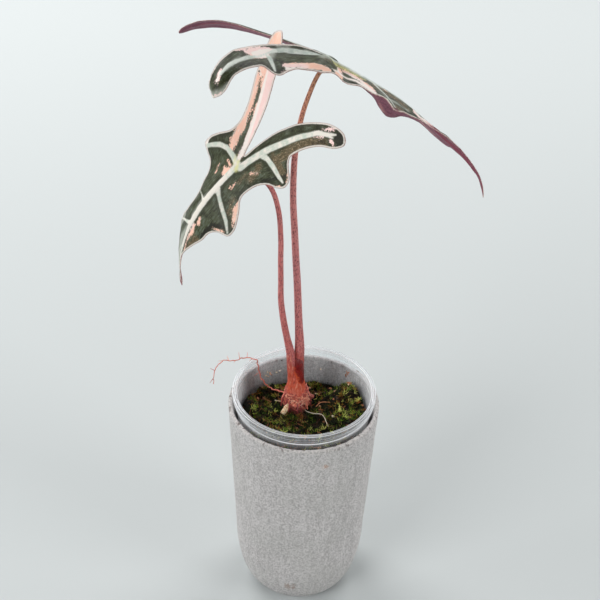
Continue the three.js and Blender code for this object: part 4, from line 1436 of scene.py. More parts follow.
@dataclass(frozen=True)
class Markings:
    """Brush strokes of (x, y, half width) on the flat blade, in millimetres; green cuts into the blush."""

    vein: Strokes
    cream: Strokes
    blush: Strokes
    rose: Strokes
    green: Strokes
    tan: Strokes
    mist_and_sheen: Strokes
    dusk: Strokes
    heart: Strokes
    shade: Strokes


class Side(Enum):
    """The three kinds of face on a blade, which are also its material slots."""

    TOP = 0
    UNDER = 1
    RIM = 2


@dataclass
class Blade:
    """A lobed leaf blade: flat outline, ribs that curve it in space, and its markings; millimetres."""

    name: str
    node: str
    joint: Point
    yaw: float
    pitch: float
    roll: float
    ribs: tuple[Rib, ...]
    outline: Path
    markings: Markings
    mesh_step: float = 1.0
    outline_step: float = 0.9
    thickness: float = 0.62
    margin_thickness: float = 0.34
    fold_round: float = 1.5
    rib_hold: float = 0.22
    puff: float = 0.55
    rib_depth: float = 0.95
    stub: Point = (1000.0, 0.0)

    def axes(self) -> Sequence[Array]:
        """Work out how the blade is turned at its joint.

        Returns:
            The directions to the tip, to the left and out of the upper face.
        """
        yaw, pitch, roll = np.radians([self.yaw, self.pitch, self.roll])
        tip = np.array([math.cos(yaw) * math.cos(pitch), math.sin(yaw) * math.cos(pitch), math.sin(pitch)])
        level = np.array([-math.sin(yaw), math.cos(yaw), 0.0])
        left = level * math.cos(roll) + np.cross(tip, level) * math.sin(roll)
        return tip, left, np.cross(tip, left)

    def walk(self, rib: Rib) -> Table:
        """Walk a rib out in steps of about a millimetre, in space and in the flat drawing at once.

        Args:
            rib: the rib to walk.

        Returns:
            Arrays of place, ahead, side, up, flat place and flat turn, one row a step.
        """
        tip, left, up = self.axes()
        turn = math.radians(rib.heading)
        count = math.ceil(rib.length)
        step = rib.length / count
        ahead = tip * math.cos(turn) + left * math.sin(turn)
        side = left * math.cos(turn) - tip * math.sin(turn)
        place = np.array(self.joint, float)
        flat = np.zeros(2)
        sway = math.radians(rib.sway) / 10 * step
        rows = [(place, ahead, side, up, flat, turn)]
        for i in range(count):
            share = (i + 0.5) / count
            bend = math.radians(along(rib.bend, share)) / 10 * step
            twist = math.radians(along(rib.twist, share)) / 10 * step
            new_ahead = ahead + up * bend + side * sway
            new_ahead /= np.linalg.norm(new_ahead)
            new_side = side - ahead * sway + up * twist
            new_side -= new_ahead * (new_side @ new_ahead)
            new_side /= np.linalg.norm(new_side)
            middle = ahead + new_ahead
            place = place + middle / np.linalg.norm(middle) * step
            flat = flat + np.array([math.cos(turn + sway / 2), math.sin(turn + sway / 2)]) * step
            turn += sway
            ahead, side, up = new_ahead, new_side, np.cross(new_ahead, new_side)
            rows.append((place, ahead, side, up, flat, turn))
        names = ("place", "ahead", "side", "up", "flat", "turn")
        return {name: np.array(column) for name, column in zip(names, zip(*rows))}

    def beside(self, walk: Table, flat: Array, near: Array) -> Sequence[Array]:
        """Measure flat points from their own steps of a walk.

        Args:
            walk: a rib's walk.
            flat: flat points, one a row.
            near: each point's step.

        Returns:
            Distances ahead of the steps and across to the left.
        """
        offset = flat - walk["flat"][near]
        turn = walk["turn"][near]
        forward = offset[:, 0] * np.cos(turn) + offset[:, 1] * np.sin(turn)
        return forward, offset[:, 1] * np.cos(turn) - offset[:, 0] * np.sin(turn)

    def on_rib(self, rib: Rib, walk: Table, flat: Array) -> Array:
        """Place flat points in space as if the blade followed one rib alone.

        Args:
            rib, walk: the rib and its walk.
            flat: flat points, one a row.

        Returns:
            Points in space, in millimetres.
        """
        gaps = flat[:, None, :] - walk["flat"][None]
        near = np.argmin((gaps ** 2).sum(-1), axis=1)
        forward, across = self.beside(walk, flat, near)
        share = near / (len(walk["turn"]) - 1)
        rise = np.radians(np.where(across >= 0, along(rib.left, share), along(rib.right, share)))
        reach = np.hypot(across, self.fold_round) - self.fold_round
        return (walk["place"][near] + walk["ahead"][near] * forward[:, None]
                + walk["side"][near] * (across * np.cos(rise))[:, None]
                + walk["up"][near] * (reach * np.sin(rise))[:, None])

    def surface(self, flat: Array) -> Array:
        """Place flat points on the blade's middle surface, a blend of the two ribs beside each.

        Args:
            flat: flat points, one a row.

        Returns:
            Points in space, in millimetres.
        """
        bearing = np.degrees(np.arctan2(flat[:, 1], flat[:, 0])) % 360
        headings = [rib.heading for rib in self.ribs] + [360.0]
        placed = [self.on_rib(rib, self.walk(rib), flat) for rib in self.ribs]
        placed.append(placed[0])
        result = np.zeros((len(flat), 3))
        for i, (start, end) in enumerate(zip(headings, headings[1:])):
            mine = (bearing >= start) & (bearing < end)
            share = smoothstep((bearing - start) / (end - start), self.rib_hold, 1 - self.rib_hold)[:, None]
            blended = placed[i] * (1 - share) + placed[i + 1] * share
            result[mine] = blended[mine]
        return result

    def flat_sheet(self) -> Mesh:
        """Cut the flat outline into an even net of small faces.

        Returns:
            The net, in millimetres.
        """
        edge = smooth_curve(self.outline, True, self.outline_step)
        mesh = bmesh.new()
        mesh.faces.new([mesh.verts.new((x, y, 0)) for x, y in edge])
        for axis in (0, 1):
            low, high = edge[:, axis].min(), edge[:, axis].max()
            square = Vector((1, 0, 0)) if axis == 0 else Vector((0, 1, 0))
            for cut in np.arange(low + self.mesh_step * 0.5, high, self.mesh_step):
                geometry = mesh.verts[:] + mesh.edges[:] + mesh.faces[:]
                bmesh.ops.bisect_plane(mesh, geom=geometry, dist=1e-4, plane_co=square * cut, plane_no=square)
        bmesh.ops.remove_doubles(mesh, verts=mesh.verts, dist=0.12)
        many_sided = [face for face in mesh.faces if len(face.verts) > 4]
        bmesh.ops.triangulate(mesh, faces=many_sided)
        return mesh

    def build(self, finishes: Sequence[Material]) -> None:
        """Build the blade as a thin closed solid and hand it its markings.

        Args:
            finishes: materials for the top, the underside and the rim.
        """
        mesh = self.flat_sheet()
        flat = np.array([vert.co.xy for vert in mesh.verts])
        nudge = 0.4
        east, west = self.surface(flat + [nudge, 0]), self.surface(flat - [nudge, 0])
        north, south = self.surface(flat + [0, nudge]), self.surface(flat - [0, nudge])
        normal = np.cross(east - west, north - south)
        normal /= np.linalg.norm(normal, axis=1)[:, None]
        marks = self.measure(flat)
        middle = self.surface(flat) + normal * self.relief(flat, marks)[:, None]
        edge_share = smoothstep(marks["rim"], 0.0, 2.2)
        half = (self.margin_thickness + (self.thickness - self.margin_thickness) * edge_share) / 2
        start, fat = self.stub
        half += fat * smoothstep(flat[:, 0], start, start + 6) * smoothstep(marks["rim"], 0.0, 0.9)
        swell = self.rib_depth * smoothstep(-marks["rib"], -2.2, 0.6) * marks["taper"]
        upper = middle + normal * half[:, None]
        under = middle - normal * (half + swell)[:, None]
        station = mesh.verts.layers.int.new("station")
        for i, vert in enumerate(mesh.verts):
            vert[station] = i
        grown = bmesh.ops.extrude_face_region(mesh, geom=mesh.faces[:] + mesh.edges[:], use_keep_orig=True)
        raised = {item for item in grown["geom"] if isinstance(item, bmesh.types.BMVert)}
        for face in mesh.faces:
            lifted = sum(vert in raised for vert in face.verts)
            kind = Side.TOP if lifted == len(face.verts) else Side.RIM if lifted else Side.UNDER
            face.material_index = kind.value
        for vert in mesh.verts:
            source = upper if vert in raised else under
            vert.co = Vector(source[vert[station]]) * MM
        bmesh.ops.recalc_face_normals(mesh, faces=mesh.faces)
        piece = show(self.name, mesh, finishes, [self.node])
        self.hand_over(piece.data, flat, marks)

    def measure(self, flat: Array) -> Table:
        """Measure each flat point against the outline and every kind of stroke.

        Args:
            flat: flat points, one a row.

        Returns:
            Distances by kind, negative inside, and the taper of the ribs.
        """
        edge = smooth_curve(self.outline, True, self.outline_step)
        margin = [[(x, y, 0.0) for x, y in np.vstack([edge, edge[:1]])]]
        marks = {"rim": depth_under(flat, margin)}
        for kind in fields(self.markings):
            marks[kind.name] = depth_under(flat, getattr(self.markings, kind.name))
        marks["blush"] = np.maximum(marks["blush"], -marks.pop("green"))
        ribs = [[(x, y, 0.0) for x, y in self.walk(rib)["flat"]] for rib in self.ribs]
        marks["rib"] = depth_under(flat, ribs)
        longest = max(rib.length for rib in self.ribs)
        marks["taper"] = np.clip(1.15 - np.linalg.norm(flat, axis=1) / longest, 0.12, 1)
        return marks

    def streaks(self, flat: Array) -> Array:
        """Measure flat points along their nearest rib, for streaky grain.

        Args:
            flat: flat points, one a row.

        Returns:
            The run along the rib, the offset from it and a number that tells the ribs apart.
        """
        rows = np.zeros((len(flat), 3))
        nearest = np.full(len(flat), np.inf)
        for i, rib in enumerate(self.ribs):
            walk = self.walk(rib)
            gaps = np.linalg.norm(flat[:, None, :] - walk["flat"][None], axis=2)
            near = np.argmin(gaps, axis=1)
            away = gaps[np.arange(len(flat)), near]
            forward, across = self.beside(walk, flat, near)
            forward += near * rib.length / (len(walk["turn"]) - 1)
            mine = away < nearest
            rows[mine] = np.stack([forward, across, np.full(len(flat), 50.0 * i)], -1)[mine]
            nearest = np.minimum(nearest, away)
        return rows

    def relief(self, flat: Array, marks: Table) -> Array:
        """Puff the panels between the veins and ripple the margin a little.

        Args:
            flat: flat points.
            marks: what measure gave for them.

        Returns:
            How far each point lifts along its normal, in millimetres.
        """
        panel = smoothstep(marks["vein"], 0.0, 5.0) * smoothstep(marks["rim"], 0.0, 4.0)
        ridge = 0.14 * smoothstep(-marks["vein"], 0.0, 1.2)
        ripple = np.array([noise.noise(Vector((x, y, 0)) * 0.14) for x, y in flat])
        wave = 0.35 * ripple * (1 - smoothstep(marks["rim"], 0, 5))
        return self.puff * panel * (0.7 + 0.6 * ripple) + ridge + wave

    def hand_over(self, data: bpy.types.Mesh, flat: Array, marks: Table) -> None:
        """Store the flat place and the markings on the mesh for the finishes to read.

        Args:
            data: the blade's mesh.
            flat: flat points, one a row.
            marks: what measure gave for them.
        """
        stations = np.zeros(len(data.vertices), int)
        data.attributes["station"].data.foreach_get("value", stations)
        for kind, values in marks.items():
            layer = data.attributes.new(kind, "FLOAT", "POINT")
            layer.data.foreach_set("value", values[stations].astype(np.float32))
        level = np.hstack([flat, np.zeros((len(flat), 1))])
        for kind, places in (("flat", level), ("streak", self.streaks(flat))):
            layer = data.attributes.new(kind, "FLOAT_VECTOR", "POINT")
            layer.data.foreach_set("vector", places[stations].astype(np.float32).ravel())
        data.attributes.remove(data.attributes["station"])


FRONT_MARKINGS = Markings(
    vein=(
        ((0, -0.6, 2.2), (12, -0.9, 2.0), (24, -1.2, 2.1), (40, -1.4, 1.9), (47, -1.8, 1.6), (57, -2.2, 1.0),
         (68, -3.0, 0.8), (85, -7.4, 0.5), (94, -9.6, 0.35), (103, -8.2, 0.3)),
        ((0, 2.4, 2.0), (-6, 4.2, 1.9), (-12, 6.8, 1.9), (-18, 10.2, 2.0), (-23, 13.4, 1.8), (-29, 18.4, 1.7),
         (-37, 25.4, 1.6), (-45, 33, 1.4), (-50, 38.4, 1.3), (-56, 44.5, 1.3), (-60, 51, 0.9),
         (-63.5, 56, 0.4)),
        ((-57, 46, 1.0), (-60, 52, 0.8), (-61, 55.5, 0.4)),
        ((-15.6, 9.5, 1.9), (-16.8, 15, 1.5), (-16.6, 22, 1.6), (-15.6, 29, 1.3), (-15.4, 33.5, 0.7)),
        ((18, 0.6, 1.6), (21, 5, 1.0), (24.5, 11, 1.2), (28, 17.2, 1.1), (33, 22.6, 0.5)),
        ((0, -2, 1.9), (-1.2, -7, 1.6), (-1.6, -13, 1.4), (0.6, -19, 1.3), (5, -25, 1.1), (9, -29.6, 0.9)),
        ((47, -3, 1.3), (50, -8, 0.8), (53, -13, 0.6), (56, -17, 0.5)),
        ((29.6, -3, 0.8), (29.2, -8, 0.35), (29.5, -12, 0.2)),
        ((66, -4, 0.4), (78, -10, 0.3), (88, -13, 0.2)),
    ),
    cream=(((-1, -2, 1.4), (-10, -4.6, 1.5), (-20, -9, 1.7), (-30, -13, 1.6), (-40, -17, 1.5),
            (-50, -21.5, 1.0)),
           ((3, 0.5, 0.8), (20, -0.2, 0.6), (34, -0.4, 0.5)), ((-46, -24, 0.7), (-48, -26.6, 0.4)),
           ((0, -27.6, 0.4), (5, -30.2, 1.2), (9.6, -29.4, 1.2), (11.6, -25.6, 0.5)),
           ((33.6, 24, 0.3), (36.6, 17.6, 0.5))),
    blush=(
        ((-4, -2.6, 1.4), (-14, -5.6, 2.6), (-26, -9.6, 4.2), (-40, -13.6, 5.4), (-52, -18, 6.5),
         (-70, -26, 7.5)),
        ((-3, -10, 1.6), (-10, -13, 2.4), (-20, -15.6, 2.6), (-32, -20, 3.2), (-45, -26, 4.2),
         (-62, -30, 5.0)),
        ((3.5, -2.8, 0.8), (8.8, -4.6, 2.5), (7.6, -7.6, 0.8)),
        ((9, -12.7, 0.5), (12, -12.6, 0.4), (14.4, -11.2, 0.8)),
        ((-6.5, 14.3, 0.5), (-5, 12.6, 0.5), (-3, 10.6, 0.6)), ((8, 7, 0.4), (12, 6.3, 0.5)),
        ((38.6, 3, 0.9), (42, 3.6, 1.1)), ((45, 1.2, 0.9), (49, 2, 1.2), (57, 0.7, 0.4)),
        ((14, 15.4, 0.7), (17.5, 17.2, 1.9), (22, 20, 1.5), (27, 22.4, 0.6)),
        ((48, 0.6, 0.2), (60, -0.4, 0.35), (69, -1.2, 0.2)), ((3, -8.4, 0.5), (4.2, -4.2, 0.8)),
        ((-52, 43.4, 0.2), (-57.4, 49.6, 0.5)), ((-59, 45.6, 0.3), (-62.4, 49.6, 0.8), (-65.2, 53.4, 0.4)),
        ((-61, 53.8, 0.3), (-59, 55.4, 0.9), (-58.8, 58.6, 0.5)), ((-12, 33, 0.5), (-9, 29, 0.4)),
        ((-24, 34.6, 0.5), (-18, 36.5, 0.6)),
        ((34, 19.5, 0.6), (38, 13, 0.5)), ((13, -22, 0.3), (25, -17, 0.5), (37, -13, 0.5)),
    ),
    rose=(((-6, -3, 3), (-28, -9, 4), (-45, -14, 6), (-60, -20, 6)), ((-56, 46, 5), (-64, 56, 6)),
          ((12, -1, 3), (40, -1.4, 3), (64, -3, 2))),
    green=(
        ((-1.6, -4.6, 0.9), (-8, -7.2, 1.7), (-15, -9.8, 1.2), (-22, -13, 1.3), (-30, -16.6, 1.0),
         (-38, -19.2, 1.2),
         (-43, -22.4, 0.7), (-47, -26.4, 0.4)),
        ((-17, -17, 0.5), (-10, -17.2, 1.3), (-4, -20, 2.0), (1, -24, 2.2), (4, -28, 1.8)),
        ((3.6, -2.9, 0.5), (4.4, -4, 0.3)), ((4.2, -7.8, 0.5),), ((-60, -24, 0.3), (-52, -22, 0.5)),
    ),
    tan=(((-21, 22, 2.2), (-32, 29, 3.2), (-45, 41, 3.8), (-55, 51, 2.6)), ((-21, 18, 1.6), (-20, 30, 2.6)),
         ((-9, 13, 1.8), (0, 12.5, 1.2)), ((0, 8, 0.4), (6, 8, 0.4)), ((15, 12, 0.6), (23, 16, 0.8)),
         ((52, 6, 1.6), (64, 1.6, 1.6))),
    mist_and_sheen=(((50, -4, 0.6), (62, -6, 2.4), (75, -8, 2.8), (88, -11, 2.6), (98, -12, 2)),
          ((20, -17, 0.2), (34, -11, 0.8)),
          ((24, -4, 0.2), (42, -4, 0.5)), ((50, -14, 1.2), (60, -15.4, 2.2))),
    dusk=(((98, -9.6, 0.5), (106, -7.5, 3.0)),),
    heart=(((-1.5, -1.4, 0.8), (2.6, 1.4, 1.1)), ((-3, -5, 0.2), (2, -3, 0.4))),
    shade=(((-63.6, 59.2, 3.4), (-60.6, 61, 1.8)), ((-64, 50, 0.3), (-60.4, 48.4, 0.5)),
           ((-49, 44, 0.3), (-56, 52, 0.6)),
           ((18, -17, 0.4), (34, -11.4, 0.8)), ((30, 21, 0.6), (36, 12, 1.4), (48, 8, 1.0)),
           ((-20, 34, 0.8), (-6, 20, 1.0))),
)

BACK_MARKINGS = Markings(
    vein=(
        ((0, -0.8, 1.6), (14, -1.6, 1.3), (30, -1.8, 1.1), (52, -1.4, 0.9), (74, -0.6, 0.6), (100, 0, 0.4)),
        ((0, -1.6, 1.6), (-8, -5, 1.9), (-14, -7.6, 2.0), (-20, -10.4, 1.9), (-26, -14, 1.5), (-30, -18, 1.2),
         (-33, -23, 0.5), (-37, -31, 0.5), (-41.5, -38, 1.3), (-45, -46, 1.1), (-49.5, -55, 1.3),
         (-52, -62, 0.8)),
        ((-31.5, -26, 1.5), (-28.5, -30.5, 1.2), (-25.8, -34.8, 0.5)),
        ((0, 1, 1.5), (-15, 5.5, 1.6), (-35, 13, 1.4), (-55, 20, 1.1), (-78, 26, 0.7)),
        ((-12, 6, 1.2), (-17, 18, 1.0), (-17, 28, 0.6)), ((-2, 2, 1.1), (-3, 12, 0.9), (-5, 24, 0.6)),
        ((20, 0, 1.0), (32, 12, 0.8), (43, 27, 0.5)), ((26, -2.4, 0.7), (36, -10, 0.5), (45.5, -22, 0.4)),
        ((55, 0, 0.7), (66, 5, 0.5), (77, 11, 0.3)), ((54, -1, 0.5), (63, -7, 0.4), (72, -15, 0.3)),
    ),
    cream=(((-33, -20, 1.2), (-35.4, -26, 3.2), (-39, -32, 2.4)), ((-31, -18.5, 1.2), (-28, -16.6, 0.8)),
           ((-20.6, -29.6, 1.2), (-13, -26.4, 0.8)),
           ((3.4, -20, 0.5), (8.6, -10.4, 0.9), (18.2, -9.4, 0.9), (25, -11.4, 1.0), (30, -14.6, 1.2)),
           ((-53, -60, 0.7), (-52.6, -66, 0.9)),
           ((5.4, -5, 0.4), (6.4, -12, 0.9), (5, -19, 0.6)), ((11, -6.4, 0.3), (20, -7.4, 0.8),
                                                              (27, -12.4, 0.9)),
           ((-22, -7, 0.3), (-34, -13, 0.5)), ((55, -4, 1.0), (62, -5, 1.4))),
    blush=(
        ((-33, -19.6, 1.6), (-36.6, -26, 4.4), (-40, -31, 3.8), (-44, -34.6, 1.6)),
        ((-42.8, -26.1, 1.2), (-45.3, -30.6, 1.4), (-49.8, -38.6, 0.9)),
        ((-46, -22, 0.8), (-52, -33, 0.9), (-57, -46, 0.7), (-60, -58, 0.7), (-61, -68, 0.8)),
        ((-39, -34, 1.2), (-43, -40.5, 0.6)), ((-53, -58.6, 0.5), (-53, -62.6, 1.3), (-52.4, -67, 0.9)),
        ((-61, -69, 0.5), (-59.4, -73, 0.8), (-53, -75, 0.9), (-48.6, -72, 0.6)),
        ((-22, -28, 1.6), (-16, -25, 2.0), (-8, -24.6, 2.2), (2, -24, 2.4)),
        ((6, -4.4, 1.0), (8, -11, 2.4), (8, -19, 2.6)), ((9, -4.8, 1.0), (20, -7, 1.4), (26, -10.5, 2.0),
                                                         (29, -14, 1.4)),
        ((54, -2.6, 0.8), (56.5, -7, 1.6), (63, -6, 3.2), (68, -8, 2.0)),
        ((-22, -36, 0.6), (-19.4, -30, 0.8)),
        ((18, 8, 1.0), (27, 6.6, 1.5), (34, 7.4, 0.6)),
        ((33, -3, 0.3), (37, -5, 0.4)),
        ((60, 8, 1.4), (70, 8, 0.8)), ((36, 18, 0.6), (40, 25, 1.0)),
    ),
    rose=(((-33, -20, 5), (-48, -34, 5), (-53, -70, 8)), ((-24, -32, 5), (-13, -27, 4)),
          ((6, -12, 2), (12, -8, 3), (28, -14, 3)), ((54, -4, 6), (66, -6, 6))),
    green=(((3, -3.6, 0.7), (3.4, -8, 0.8), (1.4, -13, 0.8), (-3, -17, 0.8)),
           ((4, -3.8, 0.4), (14, -3.8, 0.4), (27, -8, 0.5)),
           ((8.6, -9, 0.2), (12, -8.4, 0.35), (22, -11, 0.3)),
           ((-20, -22, 1.0), (-5, -20.6, 1.0), (2, -17.6, 0.4)),
           ((-36, 15.6, 0.4), (-56, 21.6, 0.6))),
    tan=(((28, -6, 1.6), (44, -8, 2.4), (51, -11, 2.0)), ((-43.6, -61, 0.4), (-41.6, -53, 0.5)),
         ((-26, -7, 0.6), (-40, -19, 0.4)), ((42, -20, 1.6), (50, -20, 1.6)),
         ((-20, 16, 2.0), (-50, 24, 1.8)),
         ((10, 8, 1.6), (40, 6, 2.2)), ((-3, -16, 0.3), (3, -10, 0.4))),
    mist_and_sheen=(((-14, -6, 1.4), (-8, -7, 3.2), (-4, -9, 4.2), (-4.6, -14, 1.4)),
          ((-31, -20, 1.6), (-31, -25, 2.0)),
          ((6, -2.4, 0.3), (30, -3.4, 0.5), (50, -3, 1.2)), ((-10, 6, 3.0), (-2, 12, 3.6), (2, 18, 2.0)),
          ((-30, -14, 0.6), (-24, -10, 0.8)), ((-46, -44, 0.4), (-50, -58, 1.0)),
          ((33, -14.6, 0.8), (38, -15, 0.8)),
          ((-60.6, -66, 0.8), (-59, -73, 1.8), (-53, -74.6, 2.2), (-48.4, -71, 1.6), (-46, -66, 0.6)),
          ((32, -9, 1.0), (42, -14, 1.6), (52, -13, 1.4))),
    dusk=(((67, -8, 0.8), (71, -10, 3.0), (76, -4, 3.2), (88, -2, 5), (118, 0, 7)),
          ((44, -24, 0.6), (49, -24, 0.8))),
    heart=(((-4.4, -8.8, 0.7), (0, -3.4, 1.4), (8, -3.2, 1.1), (14.5, -3.4, 0.7), (22, -4.6, 0.3)),),
    shade=(((-29, -25, 0.4), (-24, -26, 1.2), (-22.6, -32, 1.0)),
           ((-26, -13.4, 0.6), (-14, -12, 1.0), (-8, -15.4, 0.8)),
           ((-43, -22.6, 0.8), (-50, -30, 1.2), (-55, -42, 0.8)), ((-39, -42, 0.8), (-44, -51, 1.0)),
           ((4, -15, 0.3), (9, -12.8, 0.3), (18, -11.8, 0.4)),
           ((30, -9, 0.6), (42, -12, 0.9), (50, -13, 0.7)),
           ((18, 10, 1.0), (34, 17, 1.2)), ((-16, 24, 0.8), (-6, 24, 1.2)),
           ((-54, -66, 0.6), (-52, -69, 1.0))),
)


def front_blade() -> Blade:
    """Describe the lower, front leaf.

    Returns:
        The blade.
    """
    return Blade(
        name="front_leaf", node="front_blade",
        joint=(-41.9, -24.3, 348.5), yaw=195.8, pitch=-48.7, roll=-20.9,
        ribs=(
            Rib(0, 105, (2.7, -9.8, -6.0, 0.2), (-18.1,), (-19.6,), sway=-0.8),
            Rib(160.3, 93.2, (7.4, 5.5, -4.9, -4.9), (-7.3,), (-7.3,), sway=-5.2),
            Rib(204.6, 76.8, (3.1, 4.0, 0.2, -0.3), (23.3,), (23.3,), sway=-0.3),
        ),
        outline=(
            (106.6, -7.6), (102, -6.9), (96, -7.3), (88, -6.6), (78, -4.6), (69, -0.8), (60, 4.2),
            (50, 10), (42.5, 12.4), (37.5, 16.8),
            (34.2, 23.6), (27.5, 24.4), (19, 20.4), (11.5, 15.2), (5.5, 15.6), (-1, 18.6), (-6.5, 24.5),
            (-9.5, 31),
            (-14, 36.2), (-20.5, 37.2), (-25.5, 32.6), (-29.5, 31.2), (-38, 36.5), (-51, 49.5), (-58, 60.3),
            (-63.5, 64), (-67, 60), (-65, 49), (-56, 34.8), (-43, 19.8), (-28, 7.4), (-16, 1.8), (-6.5, -0.8),
            (-16, -3.2), (-29, -5.4), (-40, -7.8), (-51, -11.7), (-62, -16.5), (-70, -22), (-73, -27.5),
            (-70, -32),
            (-64, -32.4), (-55, -30), (-45, -27.3), (-36, -23.5), (-27, -19.8), (-17, -17.4), (-10, -18.4),
            (-4, -23.5), (2, -28.6), (8, -31), (11, -27.6), (13, -22.5), (18, -18.8), (24, -16.8), (31, -13),
            (37, -12.8), (46, -15), (54, -17.6), (59, -18.2), (64, -15.6), (72, -14.2), (82, -13.8),
            (91, -13.2), (97.5, -10.8), (103, -9.1),
        ),
        markings=FRONT_MARKINGS,
        stub=(93.0, 0.5),
    )


def back_blade() -> Blade:
    """Describe the upper, back leaf.

    Returns:
        The blade.
    """
    return Blade(
        name="back_leaf", node="back_blade", joint=(8.1, -1, 404), yaw=-10.9, pitch=-21.8, roll=-20.9,
        ribs=(
            Rib(0, 118, (-3.4, 0.1, -8.7, 1.4, -8.9, -24.7), (-9.3, 41.4, 30.3), (-58.2, -69.9, 13.6),
                (-21.7, -6.1, 7.8, 7)),
            Rib(155, 94.7, (-6.8, -1.1, -1.3, -14.8, -21.6), (-28.2,), (3.6, 20), (6.7, 3.3, 1.8), 1.6),
            Rib(205, 104.2, (-16.8, 3.5, 9.1, -32.2, -40.4), (33.4, -38.5), (42.7, -53.3),
                (-11.1, 0, 16.8), 6.3),
        ),
        outline=(
            (118, 0), (110, 3.2), (98.7, 4.4), (88.9, 9.1), (82.8, 7.6), (78.3, 12.7), (70, 11.9),
            (61.6, 11.1),
            (54, 14), (49, 19), (46.5, 26), (42.8, 29.7), (36.5, 22.5), (30.5, 15.5), (21, 13), (10, 14.4),
            (0, 22),
            (-8, 28), (-15, 30.4), (-22, 29.2), (-27, 25.6), (-33, 24.6), (-42, 27), (-54, 29.6), (-70, 32),
            (-82, 32), (-89, 29.6), (-89, 26.9), (-86, 20.5), (-76, 17.2), (-60, 13.4), (-39.3, 8.2),
            (-21, 3),
            (-7, 0), (-14, -2.4), (-21.4, -5.6), (-36.9, -18.3), (-47.9, -33.1), (-56, -52.2), (-59.8, -65.1),
            (-61.2, -70.6), (-58.6, -74.2), (-53.6, -75.1), (-48.9, -73.2), (-46.5, -69.4), (-45.6, -64.6),
            (-44.6, -60),
            (-42.4, -54.8), (-38.3, -46.2), (-33.1, -37.1), (-30, -36.6), (-25.2, -37), (-22, -35.8),
            (-19.2, -31.2),
            (-15, -27.8), (-8.7, -27.7), (0, -26.9), (9.1, -19), (20.3, -12.3), (30, -15.4), (36.5, -15),
            (40.5, -20), (46.6, -26), (53.9, -17.6), (60.8, -11), (66, -10.3), (72.7, -17.1), (78.5, -13.9),
            (91.2, -6.6), (101.3, -4), (110, -3),
        ),
        markings=BACK_MARKINGS,
    )


@dataclass
class Petiole:
    """A leaf stalk from the crown to the joint of its blade; stations are (x, y, z, radius), millimetres."""

    name: str
    node: str
    stations: Path
    blade: Blade
    skin: StalkSkin
    turn: float = 9.0
    sunk: float = 0.3
    sides: int = 28

    def build(self) -> None:
        """Grow the stalk and turn its top square into the blade."""
        up = self.blade.axes()[2]
        joint = np.array(self.blade.joint)
        radius = self.stations[-1][3]
        ends = [(*(joint - up * drop), radius) for drop in (self.turn, self.sunk)]
        rows = metres([*self.stations, *ends])
        path = smooth_curve(rows, False, 1.6 * MM)
        mesh = bmesh.new()
        grow_rod(mesh, path, self.sides)
        show(self.name, mesh, [self.skin.material()], [self.node])


@dataclass
class LooseRoot:
    """A thin root that climbs out of the cup and hangs over its rim; millimetres."""

    radius: float = 0.48
    stations: Path = (
        (-13.1, 16.0, 149.2), (-17.6, 19.6, 147.4), (-21.5, 22, 146.8), (-27, 24.5, 149.5),
        (-30.6, 26.6, 156),
        (-31.6, 27.2, 163), (-33.1, 27.6, 167.4), (-37, 28.2, 168.6), (-41.8, 26.4, 169), (-49, 22.1, 170),
        (-55.6, 20.5, 171), (-58.7, 17.5, 169), (-60.5, 13.8, 165), (-61, 10.6, 159))

    def build(self) -> None:
        """Grow the root with its fine branches."""
        path = smooth_curve(metres(self.stations), False, 1.1 * MM)
        count = len(path)
        kinks = np.array([noise.noise_vector(Vector(row * 520)) for row in path]) * 0.8 * MM
        swell = [0.9 + 0.2 * noise.noise(Vector(row * 900)) for row in path]
        thick = np.array([self.radius * MM * (1 - 0.45 * i / count) * more for i, more in enumerate(swell)])
        rows = np.hstack([path + kinks, thick[:, None]])
        mesh = bmesh.new()
        grow_rod(mesh, rows, 8, 0.56)
        draw = random.Random(11)
        for i in range(16, count - 3, 4):
            start = Vector(rows[i][:3])
            heading = Vector((draw.uniform(-1, 1), draw.uniform(-1, 1), draw.uniform(-0.6, 0.8))).normalized()
            length = draw.uniform(1.5, 5.5) * MM
            bend = Vector(noise.noise_vector(start * 500)) * 1.2 * MM
            branch = [(*(start + heading * length * share + bend * share * share),
                       (0.22 - 0.1 * share) * MM) for share in (0, 0.4, 0.7, 1)]
            grow_rod(mesh, smooth_curve(branch, False, 0.8 * MM), 5, draw.uniform(0.3, 0.75))
        show("hanging_root", mesh, [RootSkin("root_skin").material()], ["loose_root"])


